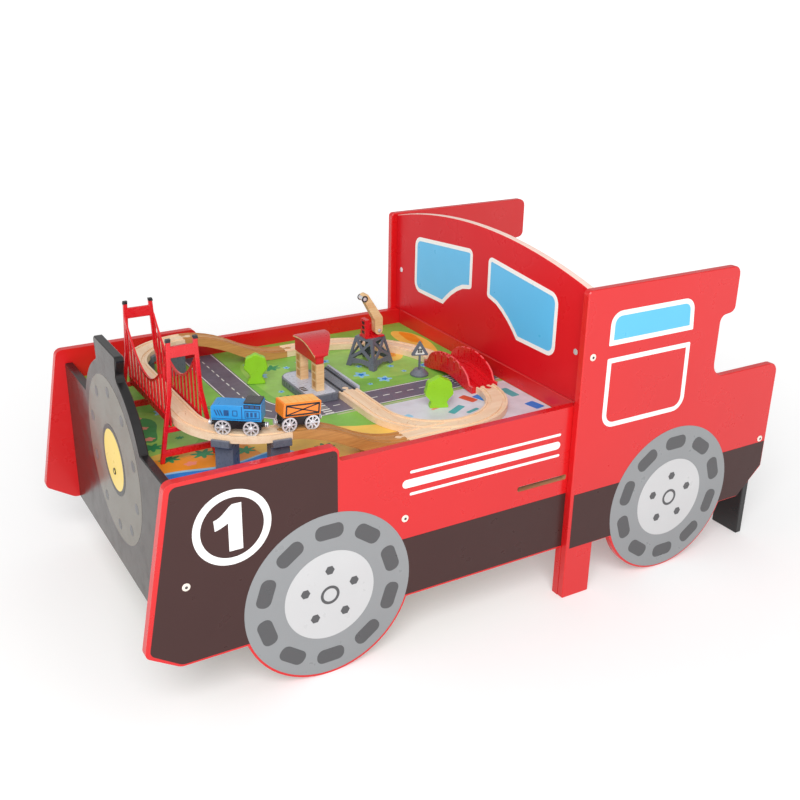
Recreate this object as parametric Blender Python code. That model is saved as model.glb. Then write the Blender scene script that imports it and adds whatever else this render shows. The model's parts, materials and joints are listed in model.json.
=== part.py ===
# Ride-on train table: engine-shaped boards round a play board with a raised wooden railway.
# Metres, +Z up. The nose points to -X, the driver's cab is at +X and the left side is -Y.
import bpy
import bmesh
from math import atan2, cos, pi, radians, sin, sqrt, tan
from mathutils import Matrix, Vector

# Boards
SEAT = 0.0003  # gap kept between pieces that touch
BOARD = 0.015
EDGE = 0.0015  # softened edge of the painted boards
CORNER_STEPS = 5
TABLE_LENGTH = 1.286
TABLE_WIDTH = 0.670
CAB_LENGTH = 0.502
CAB_HEIGHT = 0.600
SCREEN_RISE = 0.041  # how far the windshield's crown stands over its ends
SCREEN_END_DROP = 0.005
SIDE_TOP = 0.387
HOOD_RISE = 0.027
HOOD_LENGTH = 0.276
UNDERSIDE = 0.104
WHEEL_RADIUS = 0.152
FRONT_WHEEL_FROM_NOSE = 0.3055
REAR_WHEEL_FROM_CAB = 0.2475
LEG_WIDTH = 0.062

# Nose of the side panels
NOSE_TIP = 0.138
NOSE_LEAN = 0.049
NOSE_CUT = 0.054
NOSE_ROUND = 0.012

# Slot in each side panel
SLOT_LENGTH = 0.108
SLOT_HEIGHT = 0.010
SLOT_Z = 0.2505
SLOT_FROM_CAB = 0.003

# Cab side panels
ARM_DEPTH = 0.179  # how far the arm rest runs on behind the roof post
ROOF_END = 0.144  # from the tail to the roof's rear end
ROOF_EAVE = 0.092
TAIL_CUT_LENGTH = 0.059
TAIL_CUT_HEIGHT = 0.057

# Front panel
FRONT_INSET = 0.062
BOILER_RADIUS = 0.172
BOILER_Z = 0.315
CHIMNEY_HALF = 0.063
CHIMNEY_NECK_HALF = 0.055
CHIMNEY_TOP = 0.518
CHIMNEY_NECK_Z = 0.484

# Windshield, tray and what carries the play board
SCREEN_INSET = 0.0132
PLAY_TOP = 0.355
PLAY_BOARD = 0.006
CLEAT = 0.018
TRAY_RAIL_DEPTH = 0.085
STRETCHER_FROM_CAB = 0.340
STRETCHER_BOTTOM = 0.225

# Seat and rear panel
REAR_INSET = 0.0095
REAR_HEIGHT = 0.305
REAR_FOOT = 0.067
REAR_ARCH = 0.100
SEAT_TOP = 0.245
SEAT_DEPTH = 0.245
SEAT_RAIL_DEPTH = 0.075
SEAT_RAIL_SETBACK = 0.012

# Wooden track
TRACK_WIDTH = 0.040
TRACK_HEIGHT = 0.012
GROOVE_WIDTH = 0.0065
GROOVE_DEPTH = 0.0025
GAUGE = 0.026  # between the middles of the two grooves
RAISE = 0.060
SMALL_RADIUS = 0.123
TURNOUT_LENGTH = 0.127
BRANCH_RADIUS = 0.114
BRANCH_STRAIGHT = 0.111
PLATFORM_TRACK = 0.128
RAMP_BELLY = 0.008
FAR_RAMP_SHARE = 0.783  # of the way from the raised curve to the large curve
PEG_RADIUS = 0.006
PEG_NECK_HALF = 0.003
PEG_REACH = 0.011
PEG_CLEARANCE = 0.0004
PEG_THINNER = 0.0005
ARC_STEPS = 12

# Layout on the board, measured from the tray's own walls
NEAR_MARGIN = 0.057
FAR_MARGIN = 0.068
DECK_MARGIN = 0.071
ARCH_MARGIN = 0.065

# Hump bridge
HUMP_LENGTH = 0.170
HUMP_WIDTH = 0.058
HUMP_RISE = 0.012
HUMP_WALL = 0.004
HUMP_WALL_HEIGHT = 0.038  # over the flat track's top
HUMP_WALL_SPAN = 0.146
HUMP_SLOTS = 5
HUMP_SLOT_WIDTH = 0.004

# Piers under the raised track
PIER_LENGTH = 0.030
PIER_DEPTH = 0.026
PIER_CAP = 0.006
PIER_EAR = 0.005
PIER_EAR_HEIGHT = 0.006
PIER_SLACK = 0.0014  # room between the ears and the edges of a bent track

# Suspension bridge
TOWER_HEIGHT = 0.205
TOWER_BASE_HALF = 0.048
TOWER_KNEE_HALF = 0.029
TOWER_KNEE_Z = 0.115
TOWER_TOP_HALF = 0.025
TOWER_LEG = 0.007
TOWER_DEPTH = 0.006
TOWER_HEAD_TOP = 0.193
TOWER_HEAD_BOTTOM = 0.175
TOWER_FOOT_BAR_BOTTOM = 0.011
TOWER_FOOT_BAR_TOP = 0.022
TOWER_DECK_BAR = 0.008
NEAR_TOWER_SETBACK = -0.010
FAR_TOWER_SETBACK = 0.028
NET_HALF_GAP = 0.0235
NET_THICKNESS = 0.003
NET_BEAM = 0.012
NET_CABLE = 0.0045
NET_SAG_Z = 0.044
NET_SLAT = 0.0045
NET_SLATS = 12

# Station
STATION_GAP = 0.002
PLATFORM_WIDTH = 0.064
PLATFORM_HEIGHT = 0.015
PLATFORM_OVERHANG = 0.010
POST_HEIGHT = 0.052
POST_WIDTH = 0.016
POST_LENGTH = 0.020
POST_SETBACK = 0.029
NEAR_POST = 0.031  # from the platform's near end
FAR_POST = 0.098
ROOF_SETBACK = 0.040
ROOF_LENGTH = 0.0915
ROOF_WIDE = 0.066
ROOF_NARROW = 0.027
ROOF_THICKNESS = 0.005
ROOF_SLOPE = 0.013
ROOF_BULGE = 0.009
ROOF_EAVE_DEPTH = 0.013  # from the post's top to the roof board's near end

# Crane
CRANE_FROM_ARCH = 0.1192
CRANE_FROM_FAR_LINE = 0.1297
CRANE_TURN = radians(26)
CRANE_BASE_HALF = 0.034
CRANE_TOP_HALF = 0.021
CRANE_HEIGHT = 0.060
CRANE_WALL = 0.0028
CRANE_BAR = 0.0055
FORK_WIDTH = 0.022
FORK_FRONT = 0.022
FORK_ASIDE = 0.008  # the cheeks stand to one side of the slewing axis
FORK_FAR = 0.009
FORK_BACK = 0.019
FORK_WALL = 0.003
FORK_HEIGHT = 0.024
FORK_BLOCK = 0.008
FORK_BLOCK_HEIGHT = 0.038
BOOM_WIDTH = 0.017
BOOM_CLEARANCE = 0.0008
BOOM_LENGTH = 0.078
BOOM_ELBOW = 0.026
BOOM_LEAN = 0.033
CRANE_PIN_RADIUS = 0.0025
CRANE_PIN_CLEARANCE = 0.0003
CRANE_PIN_X = 0.012
CRANE_PIN_Z = 0.0125
BOOM_TIP_PIN = 0.0055
SPIGOT_RADIUS = 0.005
SPIGOT_CLEARANCE = 0.0003

# Trees and the road sign
FAR_TREE_GAP = 0.0382  # from the station's platform to the far tree's middle
FAR_TREE_FROM_LINE = 0.1217
NEAR_TREE_FROM_ARCH = 0.1162
NEAR_TREE_FROM_LINE = 0.1027
TREE_THICKNESS = 0.014
TREE_FOOT = 0.034
TREE_FOOT_HEIGHT = 0.016
SIGN_FROM_ARCH = 0.0632
SIGN_FROM_BEND = 0.1327
SIGN_BASE_RADIUS = 0.018
SIGN_BASE_TOP_RADIUS = 0.010
SIGN_BASE_HEIGHT = 0.012
SIGN_SOCKET_DEPTH = 0.006
SIGN_POST = 0.004
SIGN_POST_TOP = 0.040
SIGN_SIZE = 0.036
SIGN_THICKNESS = 0.004

# Rolling stock
WAGON_WHEEL_RADIUS = 0.0125
RIM_THICKNESS = 0.0028
AXLE_RADIUS = 0.0016
AXLE_CLEARANCE = 0.0003
HUB_RADIUS = 0.0032
SPOKES = 8
WHEEL_STEPS = 20
CHASSIS_WIDTH = 0.0205
CHASSIS_LOW = 0.007
CHASSIS_TOP = 0.023
LOCO_LENGTH = 0.078
LOCO_WIDTH = 0.031
LOCO_AXLES = 0.044
LOCO_HOOD_TOP = 0.0485
LOCO_CAB_TOP = 0.0515
LOCO_CAB_LENGTH = 0.028
LOCO_ROOF = 0.0025
LOCO_ROOF_INSET = 0.0008
LOCO_ANGLE = radians(234.5)
BOX_LENGTH = 0.064
BOX_WIDTH = 0.033
BOX_TOP = 0.047
BOX_AXLES = 0.039
BOX_AHEAD = 0.016  # how far the box wagon's middle is past the curve's end
COUPLER_RADIUS = 0.004
COUPLER_REACH = 0.008
COUPLER_Z = 0.013

# Places that follow from the sizes above
nose_x = -TABLE_LENGTH / 2
tail_x = TABLE_LENGTH / 2
cab_front = tail_x - CAB_LENGTH
cab_out = TABLE_WIDTH / 2
cab_in = cab_out - BOARD
cab_fit = cab_in - SEAT
side_in = cab_fit - BOARD
tray_fit = side_in - SEAT
front_face = nose_x + FRONT_INSET
front_back = front_face + BOARD
screen_face = cab_front + SCREEN_INSET
screen_back = screen_face + BOARD
rear_back = tail_x - REAR_INSET
rear_face = rear_back - BOARD
front_wheel = nose_x + FRONT_WHEEL_FROM_NOSE
rear_wheel = cab_front + REAR_WHEEL_FROM_CAB
hood_top = SIDE_TOP + HOOD_RISE
screen_bottom = SIDE_TOP + SEAT
cleat_top = PLAY_TOP - PLAY_BOARD - SEAT
seat_under = SEAT_TOP - BOARD

track_floor = PLAY_TOP + SEAT
raised_floor = PLAY_TOP + RAISE
rail_top = raised_floor + TRACK_HEIGHT
near_line = -(side_in - NEAR_MARGIN)
far_line = side_in - FAR_MARGIN
deck_x = front_back + DECK_MARGIN
arch_x = screen_face - ARCH_MARGIN
ramp_length = arch_x - deck_x - 2 * SMALL_RADIUS - TURNOUT_LENGTH
loop_x = deck_x + SMALL_RADIUS
ramp_end = loop_x + ramp_length
turnout_end = ramp_end + TURNOUT_LENGTH
near_bend = near_line + SMALL_RADIUS
far_bend = far_line - SMALL_RADIUS
hump_end = near_bend + HUMP_LENGTH
large_radius = far_line - hump_end
branch_x = turnout_end - BRANCH_RADIUS
branch_bend = near_line + BRANCH_RADIUS
branch_top = branch_bend + BRANCH_STRAIGHT
far_end = arch_x - large_radius
far_ramp_end = loop_x + FAR_RAMP_SHARE * (far_end - loop_x)
near_tower = near_bend + NEAR_TOWER_SETBACK
far_tower = far_bend - FAR_TOWER_SETBACK
crane_x = arch_x - CRANE_FROM_ARCH
crane_y = far_line - CRANE_FROM_FAR_LINE
platform_left = branch_x - TRACK_WIDTH / 2 - STATION_GAP - PLATFORM_WIDTH


def clear_scene():
    for obj in list(bpy.data.objects):
        bpy.data.objects.remove(obj)


def paint(name, colour, roughness, metallic=0.0):
    mat = bpy.data.materials.new(name)
    mat.use_nodes = True
    shader = mat.node_tree.nodes["Principled BSDF"]
    shader.inputs["Base Color"].default_value = (*colour, 1.0)
    shader.inputs["Roughness"].default_value = roughness
    shader.inputs["Metallic"].default_value = metallic
    return mat


def make_materials():
    return {
        "red_board": paint("red_board", (0.78, 0.06, 0.06), 0.35),
        "black_board": paint("black_board", (0.045, 0.04, 0.04), 0.25),
        "play_print": paint("play_print", (0.28, 0.50, 0.12), 0.5),
        "plain_wood": paint("plain_wood", (0.62, 0.42, 0.24), 0.6),
        "beech": paint("beech", (0.85, 0.66, 0.42), 0.5),
        "ramp_wood": paint("ramp_wood", (0.60, 0.36, 0.15), 0.5),
        "grey_plastic": paint("grey_plastic", (0.14, 0.15, 0.18), 0.4),
        "red_plastic": paint("red_plastic", (0.70, 0.02, 0.03), 0.3),
        "leaf_green": paint("leaf_green", (0.33, 0.66, 0.03), 0.45),
        "sign_print": paint("sign_print", (0.75, 0.75, 0.78), 0.4),
        "loco_blue": paint("loco_blue", (0.02, 0.28, 0.62), 0.35),
        "wagon_orange": paint("wagon_orange", (0.90, 0.33, 0.05), 0.4),
        "chassis_black": paint("chassis_black", (0.02, 0.02, 0.025), 0.4),
        "wheel_metal": paint("wheel_metal", (0.75, 0.75, 0.77), 0.25, 1.0),
    }


def new_object(name, bm, mat, smooth=35):
    bmesh.ops.recalc_face_normals(bm, faces=bm.faces)
    mesh = bpy.data.meshes.new(name)
    bm.to_mesh(mesh)
    bm.free()
    mesh.shade_smooth()
    mesh.set_sharp_from_angle(angle=radians(smooth))
    if mat:
        mesh.materials.append(mat)
    obj = bpy.data.objects.new(name, mesh)
    bpy.context.collection.objects.link(obj)
    return obj


def make_helper(obj):
    obj.hide_render = True
    obj.display_type = "WIRE"
    return obj


def boolean(obj, helper, operation):
    step = obj.modifiers.new(helper.name, "BOOLEAN")
    step.operation = operation
    step.object = make_helper(helper)
    step.solver = "EXACT"


def soften(obj, width, segments=1):
    edge = obj.modifiers.new("soft_edge", "BEVEL")
    edge.width = width
    edge.segments = segments
    edge.limit_method = "ANGLE"
    edge.angle_limit = radians(40)
    return obj


# Outlines: lists of (u, v) points, counter-clockwise
def fillet(corners):
    points = []
    for i, (u, v, radius) in enumerate(corners):
        here = Vector((u, v))
        if radius == 0:
            points.append(here)
            continue
        before = (Vector(corners[i - 1][:2]) - here).normalized()
        after = (Vector(corners[(i + 1) % len(corners)][:2]) - here).normalized()
        half = before.angle(after) / 2
        middle = here + (before + after).normalized() * radius / sin(half)
        first = here + before * radius / tan(half) - middle
        last = here + after * radius / tan(half) - middle
        start = atan2(first.y, first.x)
        turn = (atan2(last.y, last.x) - start + pi) % (2 * pi) - pi
        for k in range(CORNER_STEPS + 1):
            angle = start + turn * k / CORNER_STEPS
            points.append(middle + radius * Vector((cos(angle), sin(angle))))
    return points


def arc_corners(centre_u, centre_v, radius, start, end, steps):
    angles = [start + (end - start) * k / steps for k in range(steps + 1)]
    return [(centre_u + radius * cos(a), centre_v + radius * sin(a), 0) for a in angles]


def circle(centre_u, centre_v, radius, steps):
    angles = [2 * pi * k / steps for k in range(steps)]
    return [Vector((centre_u + radius * cos(a), centre_v + radius * sin(a))) for a in angles]


def wheel_arc(wheel_x):
    # the part of the round wheel outline that hangs below the panel's underside
    reach = sqrt(WHEEL_RADIUS ** 2 - (WHEEL_RADIUS - UNDERSIDE) ** 2)
    start = atan2(UNDERSIDE - WHEEL_RADIUS, -reach)
    end = atan2(UNDERSIDE - WHEEL_RADIUS, reach)
    return arc_corners(wheel_x, WHEEL_RADIUS, WHEEL_RADIUS, start, end, 26)


# Placing a flat outline in space: u, v and the thickness direction
PLANES = {
    "XZ": Matrix(((1, 0, 0), (0, 0, 1), (0, 1, 0))),
    "YZ": Matrix(((0, 0, 1), (1, 0, 0), (0, 1, 0))),
    "XY": Matrix(((1, 0, 0), (0, 1, 0), (0, 0, 1))),
}


def plate_mesh(outline, holes, plane, low, high):
    # an outline between two parallel planes, with holes right through it
    bm = bmesh.new()
    place = PLANES[plane]
    edges = []
    for loop in [outline] + holes:
        verts = [bm.verts.new(place @ Vector((p[0], p[1], low))) for p in loop]
        edges += [bm.edges.new((verts[i - 1], verts[i])) for i in range(len(verts))]
    if holes:
        bmesh.ops.triangle_fill(bm, use_beauty=True, edges=edges)
    else:
        bm.faces.new(verts)
    grown = bmesh.ops.extrude_face_region(bm, geom=list(bm.faces), use_keep_orig=True)
    moved = [item for item in grown["geom"] if isinstance(item, bmesh.types.BMVert)]
    shift = place @ Vector((0, 0, high - low))
    bmesh.ops.translate(bm, verts=moved, vec=shift)
    return bm


def plate(name, outline, plane, low, high, mat, holes=None):
    return new_object(name, plate_mesh(outline, holes or [], plane, low, high), mat)


def prisms(name, outlines, plane, low, high):
    # several cutters in one: each outline between the same two parallel planes
    bm = bmesh.new()
    place = PLANES[plane]
    for outline in outlines:
        near = [bm.verts.new(place @ Vector((u, v, low))) for u, v in outline]
        far = [bm.verts.new(place @ Vector((u, v, high))) for u, v in outline]
        bm.faces.new(near)
        bm.faces.new(far)
        for i in range(len(outline)):
            bm.faces.new((near[i - 1], near[i], far[i], far[i - 1]))
    return new_object(name, bm, None)


def box_outline(left, right, bottom, top):
    return [(left, bottom), (right, bottom), (right, top), (left, top)]


def bar(name, low, high, mat):
    outline = box_outline(low[0], high[0], low[1], high[1])
    return plate(name, outline, "XY", low[2], high[2], mat)


def loft(name, rings, mat, smooth=35):
    # closed rings of equal count, joined in order and capped at both ends
    bm = bmesh.new()
    loops = [[bm.verts.new(p) for p in ring] for ring in rings]
    count = len(loops[0])
    for near, far in zip(loops, loops[1:]):
        for i in range(count):
            bm.faces.new((near[i - 1], near[i], far[i], far[i - 1]))
    bm.faces.new(loops[0])
    bm.faces.new(loops[-1])
    return new_object(name, bm, mat, smooth)


def lathe(name, profile, steps, mat):
    # profile of (radius, height) round the Z axis, starting and ending on the axis
    bm = bmesh.new()
    rings = []
    for radius, height in profile:
        if radius == 0:
            rings.append([bm.verts.new((0, 0, height))])
            continue
        angles = [2 * pi * k / steps for k in range(steps)]
        rings.append([bm.verts.new((radius * cos(a), radius * sin(a), height)) for a in angles])
    for low, high in zip(rings, rings[1:]):
        for k in range(steps):
            j = (k + 1) % steps
            corners = [low[k % len(low)], low[j % len(low)], high[j % len(high)], high[k % len(high)]]
            bm.faces.new(list(dict.fromkeys(corners)))
    return new_object(name, bm, mat)


# Boards of the engine-shaped body
def nose_corner():
    # where the two edges would meet, so that the rounded tip just reaches the nose
    rising = Vector((NOSE_LEAN, hood_top - NOSE_TIP)).normalized()
    falling = Vector((NOSE_CUT, UNDERSIDE - NOSE_TIP)).normalized()
    middle = (rising + falling).normalized() * NOSE_ROUND / sin(rising.angle(falling) / 2)
    return nose_x - middle.x + NOSE_ROUND


def side_outline():
    foot = cab_front + LEG_WIDTH
    tip = nose_corner()
    hood_end = tip + NOSE_LEAN + HOOD_LENGTH
    corners = [(tip, NOSE_TIP, NOSE_ROUND), (tip + NOSE_CUT, UNDERSIDE, 0.020)]
    corners += wheel_arc(front_wheel)
    corners += [(cab_front, UNDERSIDE, 0), (cab_front, 0, 0), (foot, 0, 0), (foot, SIDE_TOP, 0.006)]
    corners += [(hood_end, SIDE_TOP, 0.008), (hood_end, hood_top, 0.012)]
    corners += [(tip + NOSE_LEAN, hood_top, 0.014)]
    return fillet(corners)


def slot_outline():
    right = cab_front - SLOT_FROM_CAB
    half = SLOT_HEIGHT / 2
    low = SLOT_Z - half
    high = SLOT_Z + half
    left = right - SLOT_LENGTH
    round_corner = 0.4 * SLOT_HEIGHT
    corners = [(left, low), (right, low), (right, high), (left, high)]
    return fillet([(u, v, round_corner) for u, v in corners])


def cab_outline():
    foot = cab_front + LEG_WIDTH
    post = tail_x - ARM_DEPTH
    roof_end = tail_x - ROOF_END
    eave = CAB_HEIGHT - ROOF_EAVE
    corners = [(cab_front, 0, 0), (foot, 0, 0), (foot, UNDERSIDE, 0)]
    corners += wheel_arc(rear_wheel)
    corners += [(tail_x - TAIL_CUT_LENGTH, UNDERSIDE, 0.006), (tail_x, UNDERSIDE + TAIL_CUT_HEIGHT, 0.006)]
    corners += [(tail_x, SIDE_TOP, 0.020), (post, SIDE_TOP, 0.028), (post, eave, 0.014)]
    corners += [(roof_end, eave + 0.004, 0.013), (roof_end, CAB_HEIGHT, 0.016)]
    corners += [(cab_front, CAB_HEIGHT, 0.008)]
    return fillet(corners)


def make_side_boards(mats):
    for name, near in (("side_panel_left", -cab_fit), ("side_panel_right", side_in)):
        panel = plate(name, side_outline(), "XZ", near, near + BOARD, mats["red_board"], [slot_outline()])
        soften(panel, EDGE)
    for name, near in (("cab_side_left", -cab_out), ("cab_side_right", cab_in)):
        soften(plate(name, cab_outline(), "XZ", near, near + BOARD, mats["red_board"]), EDGE)


def front_outline():
    # the front of a steam boiler between two low shoulders, with a short chimney
    start_v = SIDE_TOP - BOILER_Z
    start_u = sqrt(BOILER_RADIUS ** 2 - start_v ** 2)
    start = atan2(start_v, start_u)
    neck = atan2(sqrt(BOILER_RADIUS ** 2 - CHIMNEY_HALF ** 2), CHIMNEY_HALF)
    right = arc_corners(0, BOILER_Z, BOILER_RADIUS, start, neck, 8)
    left = [(-u, v, r) for u, v, r in reversed(right)]
    corners = [(-tray_fit, UNDERSIDE, 0), (tray_fit, UNDERSIDE, 0), (tray_fit, SIDE_TOP, 0)]
    corners += right
    corners += [(CHIMNEY_NECK_HALF, CHIMNEY_NECK_Z, 0.008), (CHIMNEY_HALF + 0.003, CHIMNEY_TOP, 0.007)]
    corners += [(-CHIMNEY_HALF - 0.003, CHIMNEY_TOP, 0.007), (-CHIMNEY_NECK_HALF, CHIMNEY_NECK_Z, 0.008)]
    corners += left
    corners += [(-tray_fit, SIDE_TOP, 0)]
    return fillet(corners)


def screen_outline():
    # the windshield: square below, with a shallow crown on top
    end_z = CAB_HEIGHT - SCREEN_END_DROP
    crown = (cab_fit ** 2 + SCREEN_RISE ** 2) / (2 * SCREEN_RISE)
    centre = end_z + SCREEN_RISE - crown
    start = atan2(end_z - centre, cab_fit)
    top = arc_corners(0, centre, crown, start, pi - start, 20)
    return fillet([(-cab_fit, screen_bottom, 0), (cab_fit, screen_bottom, 0)] + top)


def rear_outline():
    inner = cab_fit - REAR_FOOT
    corners = [(-cab_fit, 0, 0), (-inner, 0, 0), (-inner, REAR_ARCH, 0.030), (inner, REAR_ARCH, 0.030)]
    corners += [(inner, 0, 0), (cab_fit, 0, 0), (cab_fit, REAR_HEIGHT, 0.015)]
    corners += [(-cab_fit, REAR_HEIGHT, 0.015)]
    return fillet(corners)


def make_cross_boards(mats):
    red = mats["red_board"]
    black = mats["black_board"]
    soften(plate("front_panel", front_outline(), "YZ", front_face, front_back, black), EDGE)
    soften(plate("windshield_panel", screen_outline(), "YZ", screen_face, screen_back, red), EDGE)
    rail = box_outline(-tray_fit, tray_fit, SIDE_TOP - TRAY_RAIL_DEPTH, SIDE_TOP)
    soften(plate("tray_end_rail", rail, "YZ", screen_face, screen_back, red), EDGE)
    soften(plate("rear_panel", rear_outline(), "YZ", rear_face, rear_back, black), EDGE)


def make_tray(mats):
    wood = mats["plain_wood"]
    start = front_back + SEAT
    end = screen_face - SEAT
    bar("play_board", (start, -tray_fit, PLAY_TOP - PLAY_BOARD), (end, tray_fit, PLAY_TOP), mats["play_print"])
    inner = tray_fit - CLEAT
    low = cleat_top - CLEAT
    bar("board_cleat_left", (start, -tray_fit, low), (end, -inner, cleat_top), wood)
    bar("board_cleat_right", (start, inner, low), (end, tray_fit, cleat_top), wood)
    # the stretcher is notched over both cleats, so that it bears on the board and on the sides
    notch = inner - SEAT
    under = low - SEAT
    outline = [(-tray_fit, STRETCHER_BOTTOM), (tray_fit, STRETCHER_BOTTOM), (tray_fit, under)]
    outline += [(notch, under), (notch, cleat_top), (-notch, cleat_top), (-notch, under)]
    outline += [(-tray_fit, under)]
    middle = cab_front - STRETCHER_FROM_CAB
    plate("board_stretcher", outline, "YZ", middle - BOARD / 2, middle + BOARD / 2, wood)


def make_seat(mats):
    red = mats["red_board"]
    back = rear_face - SEAT
    front = back - SEAT_DEPTH
    soften(bar("seat_board", (front, -cab_fit, seat_under), (back, cab_fit, SEAT_TOP), red), EDGE)
    rail_front = front + SEAT_RAIL_SETBACK
    rail_top = seat_under - SEAT
    low = (rail_front, -cab_fit, rail_top - SEAT_RAIL_DEPTH)
    soften(bar("seat_front_rail", low, (rail_front + BOARD, cab_fit, rail_top), red), EDGE)
    start = rail_front + BOARD + SEAT
    inner = cab_fit - CLEAT
    wood = mats["plain_wood"]
    bar("seat_cleat_left", (start, -cab_fit, rail_top - CLEAT), (back, -inner, rail_top), wood)
    bar("seat_cleat_right", (start, inner, rail_top - CLEAT), (back, cab_fit, rail_top), wood)


# Track: a path is a list of (point, heading), and rings are drawn square to it
def straight_path(start, heading, length, steps=1):
    away = Vector((cos(heading), sin(heading)))
    first = SEAT / 2
    run = length - SEAT
    return [(Vector(start) + away * (first + run * k / steps), heading) for k in range(steps + 1)]


def bend_path(centre, radius, start, end, steps=ARC_STEPS):
    # start and end are angles seen from the centre; a falling angle turns right
    way = 1 if end > start else -1
    trim = way * SEAT / 2 / radius
    path = []
    for k in range(steps + 1):
        angle = start + trim + (end - start - 2 * trim) * k / steps
        point = Vector(centre) + radius * Vector((cos(angle), sin(angle)))
        path.append((point, angle + way * pi / 2))
    return path


def track_section(bottom, top):
    half = TRACK_WIDTH / 2
    inner = (GAUGE - GROOVE_WIDTH) / 2
    outer = (GAUGE + GROOVE_WIDTH) / 2
    bed = top - GROOVE_DEPTH
    right = [(half, bottom), (half, top), (outer, top), (outer, bed), (inner, bed), (inner, top)]
    left = [(-s, h) for s, h in reversed(right)]
    return right + left


def ring_at(point, heading, section):
    side = Vector((-sin(heading), cos(heading)))
    return [Vector((*(point + side * s), h)) for s, h in section]


def peg_outline(grow):
    # neck and round head of the wooden joint, along +u from the track's end
    neck = PEG_NECK_HALF + grow
    head = PEG_RADIUS + grow
    lean = atan2(neck, sqrt(head ** 2 - neck ** 2))
    root = -0.002
    corners = [(root, neck), (root, -neck)]
    steps = 14
    for k in range(steps + 1):
        angle = -pi + lean + (2 * pi - 2 * lean) * k / steps
        corners.append((PEG_REACH + head * cos(angle), head * sin(angle)))
    return corners


def joint_helper(name, end, floor, grow, low, high):
    point, heading = end
    helper = plate(name, peg_outline(grow), "XY", floor + low, floor + high, None)
    helper.location = (point.x, point.y, 0)
    helper.rotation_euler = (0, 0, heading)
    return helper


def add_peg(obj, end, floor):
    thin = PEG_THINNER
    peg = joint_helper(obj.name + "_peg", end, floor, 0, thin, TRACK_HEIGHT - thin)
    boolean(obj, peg, "UNION")


def add_socket(obj, end, floor):
    reach = 0.004
    hole = joint_helper(obj.name + "_socket", end, floor, PEG_CLEARANCE, -reach, TRACK_HEIGHT + reach)
    boolean(obj, hole, "DIFFERENCE")


def joints(obj, path, low_start, low_end, socket=True, peg=True):
    if socket:
        add_socket(obj, path[0], low_start)
    if peg:
        add_peg(obj, path[-1], low_end)


def flat_track(name, path, floor, mat, socket=True, peg=True):
    section = track_section(floor, floor + TRACK_HEIGHT)
    obj = loft(name, [ring_at(p, h, section) for p, h in path], mat)
    joints(obj, path, floor, floor, socket, peg)
    return obj


def climb(share):
    # two equal arcs back to back, flat at both ends
    return 2 * share ** 2 if share < 0.5 else 1 - 2 * (1 - share) ** 2


def ramp_track(name, path, from_floor, to_floor, mat):
    rings = []
    last = len(path) - 1
    for k, (point, heading) in enumerate(path):
        share = k / last
        floor = from_floor + (to_floor - from_floor) * climb(share)
        bottom = max(floor - RAMP_BELLY * sin(pi * share), track_floor)
        rings.append(ring_at(point, heading, track_section(bottom, floor + TRACK_HEIGHT)))
    obj = loft(name, rings, mat)
    joints(obj, path, from_floor, to_floor)
    return obj


def groove_helper(name, path, floor):
    # two cutters along a path, one for each wheel
    top = floor + TRACK_HEIGHT
    bm = bmesh.new()
    for side in (-1, 1):
        low = side * GAUGE / 2 - GROOVE_WIDTH / 2
        high = side * GAUGE / 2 + GROOVE_WIDTH / 2
        section = [(low, top - GROOVE_DEPTH), (high, top - GROOVE_DEPTH), (high, top + 0.002), (low, top + 0.002)]
        loops = [[bm.verts.new(p) for p in ring_at(point, heading, section)] for point, heading in path]
        for near, far in zip(loops, loops[1:]):
            for i in range(4):
                bm.faces.new((near[i - 1], near[i], far[i], far[i - 1]))
        bm.faces.new(loops[0])
        bm.faces.new(loops[-1])
    return new_object(name, bm, None)


def make_turnout(mat):
    # a straight leg along the near line and a bent leg that leaves it to the right
    main = straight_path((turnout_end, near_line), pi, TURNOUT_LENGTH)
    centre = (turnout_end, branch_bend)
    bent = bend_path(centre, BRANCH_RADIUS, 1.5 * pi, 1.25 * pi, 8)
    half = TRACK_WIDTH / 2
    inner = BRANCH_RADIUS - half
    outer = BRANCH_RADIUS + half
    start_x = main[0][0].x
    end_x = main[-1][0].x
    trim = SEAT / 2 / BRANCH_RADIUS
    edge = [(start_x, near_line + half)]
    for k in range(1, 9):
        angle = 1.5 * pi - (0.25 * pi - trim) * k / 8
        edge.append((centre[0] + inner * cos(angle), centre[1] + inner * sin(angle)))
    last = 1.25 * pi + trim
    corner = (centre[0] + outer * cos(last), centre[1] + outer * sin(last))
    outline = [(start_x, near_line - half)] + edge + [corner]
    outline += [(corner[0] - 0.001, near_line + half), (end_x, near_line + half), (end_x, near_line - half)]
    top = track_floor + TRACK_HEIGHT
    obj = plate("turnout", outline, "XY", track_floor, top, mat)
    long_main = straight_path((turnout_end + 0.005, near_line), pi, TURNOUT_LENGTH + 0.010)
    long_bent = bend_path(centre, BRANCH_RADIUS, 1.5 * pi, 1.25 * pi - 0.05, 10)
    boolean(obj, groove_helper("turnout_main_grooves", long_main, track_floor), "DIFFERENCE")
    boolean(obj, groove_helper("turnout_bent_grooves", long_bent, track_floor), "DIFFERENCE")
    joints(obj, main, track_floor, track_floor)
    branch_end = joint_helper("turnout_branch_peg", bent[-1], track_floor, 0, PEG_THINNER,
                              TRACK_HEIGHT - PEG_THINNER)
    boolean(obj, branch_end, "UNION")
    return obj


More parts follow.
